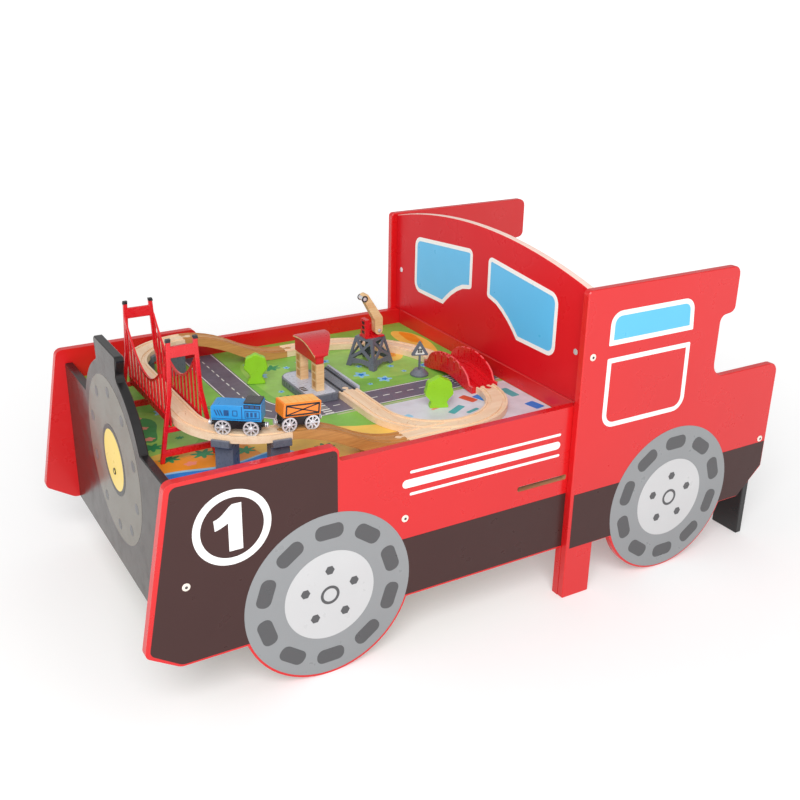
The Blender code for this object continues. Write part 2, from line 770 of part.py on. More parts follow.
def make_hump(mat):
    # plastic hump bridge: grooved deck that rises in the middle, between two arched walls
    path = straight_path((arch_x, hump_end), -pi / 2, HUMP_LENGTH, 18)
    half = HUMP_WIDTH / 2
    inner = half - HUMP_WALL
    groove_in = (GAUGE - GROOVE_WIDTH) / 2
    groove_out = (GAUGE + GROOVE_WIDTH) / 2
    flat_top = track_floor + TRACK_HEIGHT

    def arch(share):
        across = min(1, abs(2 * share - 1) * HUMP_LENGTH / HUMP_WALL_SPAN)
        return flat_top + 0.001 + HUMP_WALL_HEIGHT * sqrt(1 - across ** 2)

    rings = []
    for k, (point, heading) in enumerate(path):
        share = k / (len(path) - 1)
        rise = HUMP_RISE * sin(pi * share) ** 2
        deck = flat_top + rise
        bed = deck - GROOVE_DEPTH
        bottom = track_floor + rise
        wall = arch(share)
        right = [(half, bottom), (half, wall), (inner, wall), (inner, deck), (groove_out, deck)]
        right += [(groove_out, bed), (groove_in, bed), (groove_in, deck)]
        section = right + [(-s, h) for s, h in reversed(right)]
        rings.append(ring_at(point, heading, section))
    obj = loft("hump_bridge", rings, mat)
    joints(obj, path, track_floor, track_floor)
    slots = []
    for k in range(HUMP_SLOTS):
        share = 0.5 + 0.13 * (k - (HUMP_SLOTS - 1) / 2)
        middle = hump_end - HUMP_LENGTH * share
        high = arch(share) - 0.006
        low = flat_top + HUMP_RISE * sin(pi * share) ** 2 + 0.005
        slots.append(box_outline(middle - HUMP_SLOT_WIDTH / 2, middle + HUMP_SLOT_WIDTH / 2, low, high))
    boolean(obj, prisms("hump_slots", slots, "YZ", arch_x - HUMP_WIDTH, arch_x + HUMP_WIDTH), "DIFFERENCE")
    return obj


def make_tracks(mats):
    wood = mats["beech"]
    brown = mats["ramp_wood"]
    up = pi / 2
    deck = straight_path((deck_x, near_bend), up, far_bend - near_bend, 2)
    flat_track("deck_track", deck, raised_floor, wood)
    flat_track("raised_curve_far", bend_path((loop_x, far_bend), SMALL_RADIUS, pi, up), raised_floor, wood)
    down = straight_path((loop_x, far_line), 0, far_ramp_end - loop_x, 12)
    ramp_track("ramp_far", down, raised_floor, track_floor, brown)
    last = straight_path((far_ramp_end, far_line), 0, far_end - far_ramp_end)
    flat_track("far_straight", last, track_floor, wood)
    centre = (far_end, hump_end)
    flat_track("far_curve_left", bend_path(centre, large_radius, up, up / 2, 7), track_floor, wood)
    flat_track("far_curve_right", bend_path(centre, large_radius, up / 2, 0, 7), track_floor, wood)
    make_hump(mats["red_plastic"])
    right = bend_path((turnout_end, near_bend), SMALL_RADIUS, 0, -up)
    flat_track("right_curve", right, track_floor, wood)
    make_turnout(wood)
    climb_path = straight_path((ramp_end, near_line), pi, ramp_length, 12)
    ramp_track("ramp_near", climb_path, track_floor, raised_floor, brown)
    near = bend_path((loop_x, near_bend), SMALL_RADIUS, 1.5 * pi, pi)
    flat_track("raised_curve_near", near, raised_floor, wood)
    branch = bend_path((turnout_end, branch_bend), BRANCH_RADIUS, 1.25 * pi, pi, 7)
    flat_track("branch_curve", branch, track_floor, wood)
    straight = straight_path((branch_x, branch_bend), up, BRANCH_STRAIGHT)
    flat_track("branch_straight", straight, track_floor, wood)
    stop = straight_path((branch_x, branch_top), up, PLATFORM_TRACK)
    flat_track("platform_track", stop, track_floor, mats["grey_plastic"], peg=False)


def make_pier(name, bend_y, angle, mat):
    # a column under a cap, whose two ears clasp the edges of the raised curve at this angle
    half = TRACK_WIDTH / 2 + PIER_SLACK
    ear = half + PIER_EAR
    foot = PLAY_TOP + SEAT
    cap_top = raised_floor - SEAT
    cap = cap_top - PIER_CAP
    ear_top = cap_top + PIER_EAR_HEIGHT
    neck = cap - 0.006
    body = PIER_DEPTH / 2
    profile = [(-body, foot), (body, foot), (body, neck), (ear, cap), (ear, ear_top), (half, ear_top)]
    profile += [(half, cap_top), (-half, cap_top), (-half, ear_top), (-ear, ear_top), (-ear, cap), (-body, neck)]
    pier = plate(name, profile, "XZ", -PIER_LENGTH / 2, PIER_LENGTH / 2, mat)
    pier.location = (loop_x + SMALL_RADIUS * cos(angle), bend_y + SMALL_RADIUS * sin(angle), 0)
    pier.rotation_euler = (0, 0, angle)
    return soften(pier, 0.0008)


def make_piers(mat):
    # one pier halfway round each raised curve and one where the ramp begins
    clear = (PIER_LENGTH / 2 + 0.001) / SMALL_RADIUS
    make_pier("pier_near_curve", near_bend, 1.25 * pi, mat)
    make_pier("pier_near_ramp", near_bend, 1.5 * pi - clear, mat)
    make_pier("pier_far_curve", far_bend, 0.75 * pi, mat)
    make_pier("pier_far_ramp", far_bend, 0.5 * pi + clear, mat)


def make_tower(name, y, mat):
    # two splayed legs, tied by a foot bar, a bar under the deck and a head beam
    foot = PLAY_TOP + SEAT
    knee = PLAY_TOP + TOWER_KNEE_Z
    top = PLAY_TOP + TOWER_HEIGHT
    deck_bar_top = raised_floor - SEAT
    deck_bar = deck_bar_top - TOWER_DECK_BAR

    def half_at(z):
        if z < knee:
            share = (z - foot) / (knee - foot)
            return TOWER_BASE_HALF + (TOWER_KNEE_HALF - TOWER_BASE_HALF) * share
        share = (z - knee) / (top - knee)
        return TOWER_KNEE_HALF + (TOWER_TOP_HALF - TOWER_KNEE_HALF) * share

    def window(levels):
        inner = [(half_at(z) - TOWER_LEG, z) for z in levels]
        right = [(deck_x + u, z) for u, z in inner]
        left = [(deck_x - u, z) for u, z in reversed(inner)]
        return right + left

    head_low = PLAY_TOP + TOWER_HEAD_BOTTOM
    head_high = PLAY_TOP + TOWER_HEAD_TOP
    bar_low = PLAY_TOP + TOWER_FOOT_BAR_BOTTOM
    bar_high = PLAY_TOP + TOWER_FOOT_BAR_TOP
    right = [(deck_x + half_at(z), z) for z in (foot, knee, top)]
    right += [(deck_x + half_at(z) - TOWER_LEG, z) for z in (top, head_high)]
    left = [(2 * deck_x - u, z) for u, z in reversed(right)]
    feet = [(deck_x - half_at(z) + TOWER_LEG, z) for z in (foot, bar_low)]
    feet += [(deck_x + half_at(z) - TOWER_LEG, z) for z in (bar_low, foot)]
    holes = [window((bar_high, deck_bar))]
    holes.append(window((deck_bar_top, knee, head_low)))
    tower = plate(name, right + left + feet, "XZ", y - TOWER_DEPTH / 2, y + TOWER_DEPTH / 2, mat, holes)
    return soften(tower, 0.0008)


def make_net(name, side, mat):
    # one side of the bridge: a beam beside the deck, slats, and a cable hung between the towers
    start = near_tower + TOWER_DEPTH / 2 + SEAT
    end = far_tower - TOWER_DEPTH / 2 - SEAT
    run = end - start
    low = raised_floor
    beam = low + NET_BEAM
    peak = PLAY_TOP + TOWER_HEAD_BOTTOM
    sag = raised_floor + NET_SAG_Z

    def cable(y):
        across = 2 * (y - start) / run - 1
        return sag + (peak - sag) * across ** 2

    steps = 2 * NET_SLATS + 2
    top = [(end - run * k / steps, cable(end - run * k / steps) + NET_CABLE) for k in range(steps + 1)]
    outline = [(start, low), (end, low)] + top
    pitch = (run - NET_SLAT) / NET_SLATS
    holes = []
    for k in range(NET_SLATS):
        left = start + NET_SLAT + pitch * k
        right = left + pitch - NET_SLAT
        middle = (left + right) / 2
        holes.append([(left, beam), (right, beam), (right, cable(right)), (middle, cable(middle)), (left, cable(left))])
    near = deck_x + side * NET_HALF_GAP
    far = near + side * NET_THICKNESS
    return plate(name, outline, "YZ", min(near, far), max(near, far), mat, holes)


def make_suspension_bridge(mat):
    make_tower("tower_near", near_tower, mat)
    make_tower("tower_far", far_tower, mat)
    make_net("net_left", -1, mat)
    make_net("net_right", 1, mat)


def make_station(mats):
    # a raised platform beside the stop track, two posts and a curved roof over both
    foot = PLAY_TOP + SEAT
    right = branch_x - TRACK_WIDTH / 2 - STATION_GAP
    left = platform_left
    near = branch_top - PLATFORM_OVERHANG
    far = branch_top + PLATFORM_TRACK
    round_end = 0.45 * PLATFORM_WIDTH
    corners = [(left, near, round_end), (right, near, 0.006), (right, far, 0.006), (left, far, round_end)]
    top = foot + PLATFORM_HEIGHT
    soften(plate("station_platform", fillet(corners), "XY", foot, top, mats["grey_plastic"]), 0.001)
    half = POST_LENGTH / 2
    roof_near = near + NEAR_POST - half - 0.0005
    roof_far = roof_near + ROOF_LENGTH
    eave = top + SEAT + POST_HEIGHT + SEAT

    def underside(y):
        share = (y - roof_near) / ROOF_LENGTH
        return eave + ROOF_EAVE_DEPTH + ROOF_SLOPE * share + ROOF_BULGE * sin(pi * share)

    post_x = right - POST_SETBACK
    wide = POST_WIDTH / 2
    for name, y in (("station_post_near", near + NEAR_POST), ("station_post_far", near + FAR_POST)):
        low = (post_x - wide, y - half, top + SEAT)
        bar(name, low, (post_x + wide, y + half, top + SEAT + POST_HEIGHT), mats["beech"])
    rings = []
    steps = 10
    for k in range(steps + 1):
        share = k / steps
        y = roof_near + ROOF_LENGTH * share
        width = ROOF_NARROW + (ROOF_WIDE - ROOF_NARROW) * sin(share * pi / 2)
        edge = right - ROOF_SETBACK
        section = box_outline(edge, edge + width, underside(y), underside(y) + ROOF_THICKNESS)
        rings.append([Vector((x, y, z)) for x, z in section])
    roof = loft("station_roof", rings, mats["red_plastic"])
    # the roof board rests on a beam over both posts, curved on top like the board
    places = [roof_near + 0.0004 + (ROOF_LENGTH - 0.0008) * k / steps for k in range(steps + 1)]
    beam = [(y, underside(y) + ROOF_THICKNESS / 2) for y in places]
    beam += [(roof_far - 0.0004, eave), (roof_near + 0.0004, eave)]
    boolean(roof, plate("station_beam", beam, "YZ", post_x - wide, post_x + wide, None), "UNION")
    soften(roof, 0.0012)


def make_crane(mats):
    foot = PLAY_TOP + SEAT
    top = foot + CRANE_HEIGHT
    build_crane_tower(foot, top, mats["grey_plastic"])
    build_crane_fork(top + SEAT, mats["red_plastic"])
    build_crane_boom(top + SEAT, mats)


def build_crane_tower(foot, top, mat):
    # spread feet under a square tower of crossed bars: hollow, open below, closed on top
    def half_at(z):
        return CRANE_BASE_HALF + (CRANE_TOP_HALF - CRANE_BASE_HALF) * (z - foot) / (top - foot)

    def square(half, z):
        return [(-half, -half, z), (half, -half, z), (half, half, z), (-half, half, z)]

    tower = loft("crane_tower", [square(half_at(foot), foot), square(half_at(top), top)], mat)
    inside_low = square(half_at(foot - 0.004) - CRANE_WALL, foot - 0.004)
    inside_high = square(half_at(top - CRANE_WALL) - CRANE_WALL, top - CRANE_WALL)
    cutters = [loft("crane_tower_inside", [inside_low, inside_high], None)]
    bore = circle(0, 0, SPIGOT_RADIUS + SPIGOT_CLEARANCE, 16)
    cutters.append(plate("crane_tower_bore", bore, "XY", top - 0.010, top + 0.004, None))
    low = foot + 0.28 * CRANE_HEIGHT
    high = foot + 0.90 * CRANE_HEIGHT
    middle = (low + high) / 2
    wide = half_at(low) - CRANE_BAR
    slim = half_at(high) - CRANE_BAR
    arm = CRANE_BAR * 0.75
    windows = [
        [(-wide + arm, low), (wide - arm, low), (0, middle - arm)],
        [(slim, high - arm), (wide, low + arm), (arm, middle)],
        [(slim - arm, high), (-slim + arm, high), (0, middle + arm)],
        [(-wide, low + arm), (-slim, high - arm), (-arm, middle)],
        [(-wide, foot - 0.004), (wide, foot - 0.004), (wide * 0.8, foot + 0.006), (0, foot + 0.010),
         (-wide * 0.8, foot + 0.006)],
    ]
    reach = CRANE_BASE_HALF + 0.004
    cutters.append(prisms("crane_tower_side_windows", windows, "XZ", -reach, reach))
    cutters.append(prisms("crane_tower_end_windows", windows, "YZ", -reach, reach))
    for obj in [tower] + cutters:
        obj.location = (crane_x, crane_y, 0)
        obj.rotation_euler = (0, 0, CRANE_TURN)
    for cutter in cutters:
        boolean(tower, cutter, "DIFFERENCE")


def build_crane_fork(floor, mat):
    # slewing head: a base with one cheek and a tall back, and the pin that the boom hangs on
    near = -FORK_ASIDE - FORK_WIDTH / 2
    far = -FORK_ASIDE + FORK_WIDTH / 2
    top = floor + FORK_HEIGHT
    base_top = floor + FORK_WALL
    profile = [(near, floor), (FORK_FAR, floor), (FORK_FAR, base_top), (far, base_top), (far, top)]
    profile += [(far - FORK_WALL, top), (far - FORK_WALL, base_top), (near, base_top)]
    fork = plate("crane_fork", profile, "YZ", -FORK_BACK, FORK_FRONT, mat)
    block_low = floor + 0.001
    block = box_outline(-FORK_BACK - 0.001, -FORK_BACK + FORK_BLOCK, block_low, floor + FORK_BLOCK_HEIGHT)
    spigot_low = floor - SEAT - CRANE_WALL - 0.002
    pin = circle(CRANE_PIN_X, floor + CRANE_PIN_Z, CRANE_PIN_RADIUS, 16)
    parts = [
        plate("crane_fork_back", block, "XZ", near + 0.001, far - 0.001, None),
        plate("crane_spigot", circle(0, 0, SPIGOT_RADIUS, 16), "XY", spigot_low, floor + 0.001, None),
        plate("crane_pin", pin, "XZ", near + 0.001, far - 0.001, None),
    ]
    for part in parts:
        boolean(fork, part, "UNION")
    for part in [fork] + parts:
        part.location = (crane_x, crane_y, 0)


def build_crane_boom(floor, mats):
    # wooden boom in the fork: upright at the pin, then leaning to its tip, which a steel pin crosses
    half = BOOM_WIDTH / 2
    inner = FORK_WIDTH / 2 - FORK_WALL - BOOM_CLEARANCE
    slim = half * 0.85
    corners = arc_corners(0, 0, half, pi, 2 * pi, 10)
    corners += [(half, BOOM_ELBOW, 0.010), (-BOOM_LEAN + slim, BOOM_LENGTH, 0.006)]
    corners += [(-BOOM_LEAN - slim, BOOM_LENGTH, 0.006), (-half, BOOM_ELBOW - 0.006, 0.010)]
    boom = plate("crane_boom", fillet(corners), "XZ", -inner, inner, mats["beech"])
    bore = CRANE_PIN_RADIUS + CRANE_PIN_CLEARANCE
    tip = (-BOOM_LEAN, BOOM_LENGTH - 0.009)
    holes = [circle(0, 0, bore, 16), circle(*tip, BOOM_TIP_PIN + SEAT, 16)]
    cutter = prisms("crane_boom_bores", holes, "XZ", -FORK_WIDTH, FORK_WIDTH)
    boolean(boom, cutter, "DIFFERENCE")
    pin = plate("boom_tip_pin", circle(*tip, BOOM_TIP_PIN, 16), "XZ", -inner - 0.002, inner + 0.002,
                mats["wheel_metal"])
    for part in (boom, cutter, soften(pin, 0.0006)):
        part.location = (crane_x + CRANE_PIN_X, crane_y - FORK_ASIDE, floor + CRANE_PIN_Z)


def make_tree(name, x, y, width, height, turn, mat):
    # a flat tree: lobed crown over a foot that widens to the board
    foot = PLAY_TOP + SEAT
    crown_radius = width / 2
    centre = height - crown_radius
    lobes = 7
    gap = radians(33)
    points = []
    steps = 28
    for k in range(steps + 1):
        angle = -pi / 2 + gap + (2 * pi - 2 * gap) * k / steps
        radius = crown_radius * (1 - 0.05 + 0.05 * cos(lobes * (angle - pi / 2)))
        points.append((radius * cos(angle), foot + centre + radius * sin(angle)))
    trunk = points[-1][0]
    base = TREE_FOOT / 2
    points += [(trunk * 0.95, foot + TREE_FOOT_HEIGHT * 0.8), (-base, foot + 0.004), (-base, foot)]
    points += [(base, foot), (base, foot + 0.004), (-trunk * 0.95, foot + TREE_FOOT_HEIGHT * 0.8)]
    tree = plate(name, points, "XZ", -TREE_THICKNESS / 2, TREE_THICKNESS / 2, mat)
    tree.location = (x, y, 0)
    tree.rotation_euler = (0, 0, turn)
    return soften(tree, 0.0015)


def make_trees(mat):
    far = (platform_left - FAR_TREE_GAP, far_line - FAR_TREE_FROM_LINE)
    near = (arch_x - NEAR_TREE_FROM_ARCH, near_line + NEAR_TREE_FROM_LINE)
    make_tree("tree_far", *far, 0.046, 0.060, radians(-20), mat)
    make_tree("tree_near", *near, 0.053, 0.059, radians(-20), mat)


def make_sign(mats):
    x = arch_x - SIGN_FROM_ARCH
    y = near_bend + SIGN_FROM_BEND
    foot = PLAY_TOP + SEAT
    hole = SIGN_POST / 2 + SEAT
    top = foot + SIGN_BASE_HEIGHT
    floor = top - SIGN_SOCKET_DEPTH
    profile = [(0, foot), (SIGN_BASE_RADIUS, foot), (SIGN_BASE_RADIUS, foot + 0.003), (SIGN_BASE_TOP_RADIUS, top)]
    profile += [(hole * sqrt(2), top), (hole * sqrt(2), floor), (0, floor)]
    base = lathe("sign_base", profile, 20, mats["grey_plastic"])
    base.location = (x, y, 0)
    half = SIGN_POST / 2
    low = floor + SEAT
    plate_low = foot + SIGN_POST_TOP
    apex = plate_low + SIGN_SIZE * sin(pi / 3)
    corners = [(-half, low, 0), (half, low, 0), (half, plate_low, 0), (SIGN_SIZE / 2, plate_low, 0.002)]
    corners += [(0, apex, 0.002), (-SIGN_SIZE / 2, plate_low, 0.002), (-half, plate_low, 0)]
    sign = plate("road_sign", fillet(corners), "XZ", -SIGN_THICKNESS / 2, SIGN_THICKNESS / 2, mats["sign_print"])
    sign.location = (x, y, 0)
    sign.rotation_euler = (0, 0, radians(-20))


# Rolling stock, drawn along its own X with the rail at z = 0, then set on the track
def wheel_centre():
    return WAGON_WHEEL_RADIUS - GROOVE_DEPTH + SEAT


def make_wheelset(name, place, along, mats):
    # two spoked wheels on one axle, turned about the axle's own Z and laid across the track
    inner = GAUGE / 2 - RIM_THICKNESS / 2
    outer = GAUGE / 2 + RIM_THICKNESS / 2
    rim = WAGON_WHEEL_RADIUS
    cap = outer + 0.0008
    half = [(AXLE_RADIUS, inner), (rim, inner), (rim, outer), (HUB_RADIUS, outer), (HUB_RADIUS, cap), (0, cap)]
    profile = [(r, -h) for r, h in reversed(half)] + half
    wheelset = lathe(name, profile, WHEEL_STEPS, mats["wheel_metal"])
    wheelset.matrix_world = place @ Matrix.Translation((along, 0, wheel_centre())) @ Matrix.Rotation(pi / 2, 4, "X")
    windows = spoke_windows(name + "_windows", cap)
    windows.matrix_world = wheelset.matrix_world
    boolean(wheelset, windows, "DIFFERENCE")
    return wheelset


def spoke_windows(name, reach):
    # a wedge between each pair of spokes, right through both wheels
    near = HUB_RADIUS + 0.0016
    far = WAGON_WHEEL_RADIUS - 0.0022
    corners = [(near, -0.50), (far, -0.72), (far, 0.72), (near, 0.50)]
    spread = pi / SPOKES
    wedges = []
    for k in range(SPOKES):
        middle = 2 * pi * (k + 0.5) / SPOKES
        wedges.append([(r * cos(middle + s * spread), r * sin(middle + s * spread)) for r, s in corners])
    return prisms(name, wedges, "XY", -reach - 0.002, reach + 0.002)


def make_chassis(name, place, length, axles, mats):
    # a block between the wheels, bored for both axles, with a round coupler at each end
    half = length / 2
    wide = CHASSIS_WIDTH / 2
    outline = box_outline(-half, half, -wide, wide)
    chassis = plate(name, outline, "XY", CHASSIS_LOW, CHASSIS_TOP, mats["chassis_black"])
    soften(chassis, 0.001)
    rod = plate(name + "_couplers", circle(0, COUPLER_Z, COUPLER_RADIUS, 16), "YZ", -half - COUPLER_REACH,
                half + COUPLER_REACH, None)
    boolean(chassis, rod, "UNION")
    for side in (-1, 1):
        hole = circle(side * axles / 2, wheel_centre(), AXLE_RADIUS + AXLE_CLEARANCE, 16)
        bore = plate(f"{name}_bore_{side + 2}", hole, "XZ", -LOCO_WIDTH, LOCO_WIDTH, None)
        bore.matrix_world = place
        boolean(chassis, bore, "DIFFERENCE")
    chassis.matrix_world = place
    rod.matrix_world = place
    return chassis


def make_loco(mats):
    # the engine stands on the near raised curve; its empty sits on that curve's own axis
    centre = Vector((loop_x, near_bend, 0))
    # both axles are on the curve's middle line, so the engine's own middle is a little inside it
    reach = sqrt(SMALL_RADIUS ** 2 - (LOCO_AXLES / 2) ** 2)
    spot = centre + reach * Vector((cos(LOCO_ANGLE), sin(LOCO_ANGLE), 0))
    spot.z = rail_top
    place = Matrix.Translation(spot) @ Matrix.Rotation(LOCO_ANGLE + pi / 2, 4, "Z")
    chassis = make_chassis("loco_chassis", place, LOCO_LENGTH - 0.004, LOCO_AXLES, mats)
    half = LOCO_LENGTH / 2
    low = CHASSIS_TOP + SEAT
    cab = half - LOCO_CAB_LENGTH
    corners = [(-half, low, 0), (half, low, 0), (half, LOCO_CAB_TOP, 0.001), (cab, LOCO_CAB_TOP, 0.001)]
    corners += [(cab, LOCO_HOOD_TOP, 0.001), (-half, LOCO_HOOD_TOP, 0.006)]
    wide = LOCO_WIDTH / 2
    body = plate("loco_body", fillet(corners), "XZ", -wide, wide, mats["loco_blue"])
    soften(body, 0.002, 2)
    inset = LOCO_ROOF_INSET
    roof = bar("loco_roof", (cab + inset, -wide + inset, LOCO_CAB_TOP + SEAT),
               (half - inset, wide - inset, LOCO_CAB_TOP + SEAT + LOCO_ROOF), mats["chassis_black"])
    soften(roof, 0.001)
    front = make_wheelset("loco_wheels_front", place, -LOCO_AXLES / 2, mats)
    rear = make_wheelset("loco_wheels_rear", place, LOCO_AXLES / 2, mats)
    travel = bpy.data.objects.new("loco_travel", None)
    travel.location = centre
    bpy.context.collection.objects.link(travel)
    for obj in (body, roof):
        obj.matrix_world = place
    for obj in (chassis, body, roof, front, rear):
        obj.parent = travel
        obj.matrix_parent_inverse = Matrix.Translation(-centre)


def ramp_drop(along):
    # how far the ramp has fallen at a distance past its top
    if along < 0:
        return 0
    return (raised_floor - track_floor) * climb(along / ramp_length)


def make_wagon(mats):
    # the box wagon stands where the raised curve meets the ramp, one axle on each
    front = BOX_AHEAD - BOX_AXLES / 2
    rear = BOX_AHEAD + BOX_AXLES / 2
    drop = ramp_drop(rear)
    pitch = atan2(drop, rear - front)
    spot = Vector((loop_x + BOX_AHEAD, near_line, rail_top - drop / 2))
    place = Matrix.Translation(spot) @ Matrix.Rotation(pitch, 4, "Y")
    make_chassis("wagon_chassis", place, BOX_LENGTH - 0.002, BOX_AXLES, mats)
    half = BOX_LENGTH / 2
    wide = BOX_WIDTH / 2
    low = CHASSIS_TOP + SEAT
    box = bar("wagon_box", (-half, -wide, low), (half, wide, BOX_TOP), mats["wagon_orange"])
    soften(box, 0.002, 2)
    box.matrix_world = place
    make_wheelset("wagon_wheels_front", place, -BOX_AXLES / 2, mats)
    make_wheelset("wagon_wheels_rear", place, BOX_AXLES / 2, mats)


def main():
    clear_scene()
    mats = make_materials()
    make_side_boards(mats)
    make_cross_boards(mats)
    make_tray(mats)
    make_seat(mats)
    make_tracks(mats)
    make_piers(mats["grey_plastic"])
    make_suspension_bridge(mats["red_plastic"])
    make_station(mats)
    make_crane(mats)
    make_trees(mats["leaf_green"])
    make_sign(mats)
    make_loco(mats)
    make_wagon(mats)


main()
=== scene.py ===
import bpy
import bmesh
import json
import random
from math import atan2, cos, hypot, pi, radians, sin, sqrt, tan
from mathutils import Matrix, Vector


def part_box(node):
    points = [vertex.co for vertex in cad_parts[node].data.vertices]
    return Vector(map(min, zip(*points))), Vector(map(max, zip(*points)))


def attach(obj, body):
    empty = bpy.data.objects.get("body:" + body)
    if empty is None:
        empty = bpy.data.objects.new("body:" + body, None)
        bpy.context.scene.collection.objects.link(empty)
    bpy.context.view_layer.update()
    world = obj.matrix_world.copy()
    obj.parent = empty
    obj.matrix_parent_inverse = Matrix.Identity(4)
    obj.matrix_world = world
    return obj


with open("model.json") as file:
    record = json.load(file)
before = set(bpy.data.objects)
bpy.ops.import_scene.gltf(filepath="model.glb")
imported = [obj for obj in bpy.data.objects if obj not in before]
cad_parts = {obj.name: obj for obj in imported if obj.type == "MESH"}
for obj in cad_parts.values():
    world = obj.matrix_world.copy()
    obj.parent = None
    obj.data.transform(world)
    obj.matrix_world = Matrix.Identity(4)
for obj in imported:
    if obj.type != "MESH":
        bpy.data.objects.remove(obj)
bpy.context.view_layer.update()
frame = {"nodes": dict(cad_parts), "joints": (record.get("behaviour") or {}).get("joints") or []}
print("frame loaded:", len(frame["nodes"]), "parts")

# Looks of a ride-on train table: painted boards with printed panels, a beech railway and small toys.
# Metres, +Z up. The nose points to -X and the left side is -Y.


# Node helpers

def setInputs(tree, node, values):
    for key, value in values.items():
        if isinstance(value, bpy.types.NodeSocket):
            tree.links.new(value, node.inputs[key])
        else:
            node.inputs[key].default_value = value
    return node


def addNode(tree, kind, values=None, **settings):
    node = tree.nodes.new("ShaderNode" + kind)
    for key, value in settings.items():
        setattr(node, key, value)
    return setInputs(tree, node, values or {})


def calc(tree, operation, *values, clamp=False):
    return addNode(tree, "Math", dict(enumerate(values)), operation=operation, use_clamp=clamp).outputs[0]


def vectorCalc(tree, operation, *values):
    outputs = addNode(tree, "VectorMath", dict(enumerate(values)), operation=operation).outputs
    return outputs["Value" if operation in ("DOT_PRODUCT", "LENGTH") else "Vector"]


def mixTint(tree, amount, first, second, blend="MIX"):
    return addNode(tree, "Mix", {0: amount, 6: first, 7: second}, data_type="RGBA", blend_type=blend).outputs[2]


def spread(tree, value, low, high, least=0.3, most=0.7):
    # a value spread over low to high: a noise mostly lies between 0.3 and 0.7
    values = {"Value": value, "From Min": least, "From Max": most, "To Min": low, "To Max": high}
    return addNode(tree, "MapRange", values).outputs["Result"]


def noise(tree, vector, scale, detail):
    return addNode(tree, "TexNoise", {"Vector": vector, "Scale": scale, "Detail": detail}).outputs["Fac"]


def newGroup(name, inputs, outputs):
    group = bpy.data.node_groups.new(name, "ShaderNodeTree")
    for label, value in inputs.items():
        kind = "NodeSocketColor" if isinstance(value, tuple) else "NodeSocketFloat"
        group.interface.new_socket(label, in_out="INPUT", socket_type=kind).default_value = value
    for label in outputs:
        kind = "NodeSocketColor" if label == "Colour" else "NodeSocketFloat"
        group.interface.new_socket(label, in_out="OUTPUT", socket_type=kind)
    place = addNode(group, "TexCoord").outputs["Object"]
    return group, group.nodes.new("NodeGroupInput").outputs, group.nodes.new("NodeGroupOutput").inputs, place


def makeSkinGroup():
    # paint or moulded plastic: patches of tone, smudged gloss and a fine orange peel
    inputs = {"Colour": (0.5, 0.5, 0.5, 1), "Variation": 0.1, "Scale": 8.0, "Roughness": 0.4, "Smudge": 0.1,
              "Peel": 300.0}
    group, given, out, place = newGroup("skin", inputs, ["Colour", "Roughness", "Height"])
    dark = mixTint(group, 1.0, given["Colour"], (0.72, 0.70, 0.70, 1), "MULTIPLY")
    patches = spread(group, noise(group, place, given["Scale"], 3), 0, 2)
    amount = calc(group, "MULTIPLY", patches, given["Variation"])
    smudge = spread(group, noise(group, place, calc(group, "MULTIPLY", given["Scale"], 3.7), 4), -1, 1)
    shift = calc(group, "MULTIPLY_ADD", smudge, given["Smudge"], given["Roughness"])
    group.links.new(mixTint(group, amount, given["Colour"], dark), out["Colour"])
    group.links.new(shift, out["Roughness"])
    group.links.new(noise(group, place, given["Peel"], 1), out["Height"])
    return group


def makeGrainGroup():
    # wood cut along one direction: broad bands, fine fibres and the short dark flecks of beech
    inputs = {"Light": (0.8, 0.6, 0.4, 1), "Dark": (0.6, 0.4, 0.2, 1), "Scale": 60.0, "Turn": 0.0, "Contrast": 0.6,
              "Flecks": 0.3}
    group, given, out, place = newGroup("woodGrain", inputs, ["Colour", "Roughness", "Height"])
    spin = addNode(group, "VectorRotate", {"Vector": place, "Angle": given["Turn"]}, rotation_type="Z_AXIS")
    along = vectorCalc(group, "MULTIPLY", spin.outputs[0], (0.07, 1, 1))
    short = vectorCalc(group, "MULTIPLY", spin.outputs[0], (0.22, 1, 1))
    fibres = noise(group, along, calc(group, "MULTIPLY", given["Scale"], 9.0), 3)
    specks = noise(group, short, calc(group, "MULTIPLY", given["Scale"], 14.0), 1)
    bands = spread(group, noise(group, along, given["Scale"], 4), 0, 0.6)
    both = calc(group, "ADD", spread(group, fibres, 0, 0.45), bands)
    tone = calc(group, "MULTIPLY", both, given["Contrast"], clamp=True)
    fleck = calc(group, "MULTIPLY", spread(group, specks, 0, 1, 0.66, 0.74), given["Flecks"])
    plain = mixTint(group, tone, given["Light"], given["Dark"])
    group.links.new(mixTint(group, fleck, plain, given["Dark"]), out["Colour"])
    group.links.new(spread(group, fibres, 0.42, 0.58), out["Roughness"])
    group.links.new(both, out["Height"])
    return group


def makeEdgeGroup():
    # worn edges with painted light: where the rounded normal leaves the flat one, broken up by noise, the colour
    # turns to the edge tone; a pale tone paints a highlight along the rounding, a dark one paints shade into
    # grooves
    inputs = {"Colour": (0.5, 0.5, 0.5, 1), "EdgeTone": (0.9, 0.8, 0.7, 1), "Radius": 0.0012, "Amount": 0.3}
    group, given, out, place = newGroup("edgeWearAndPaintedLight", inputs, ["Colour"])
    soft = addNode(group, "Bevel", {"Radius": given["Radius"]}, samples=4).outputs[0]
    likeness = vectorCalc(group, "DOT_PRODUCT", soft, addNode(group, "NewGeometry").outputs["Normal"])
    brokenUp = spread(group, noise(group, place, 45, 4), 0.1, 1)
    mask = calc(group, "MULTIPLY", spread(group, likeness, 0, 1, 0.995, 0.90), brokenUp)
    share = calc(group, "MULTIPLY", mask, given["Amount"], clamp=True)
    group.links.new(mixTint(group, share, given["Colour"], given["EdgeTone"]), out["Colour"])
    return group


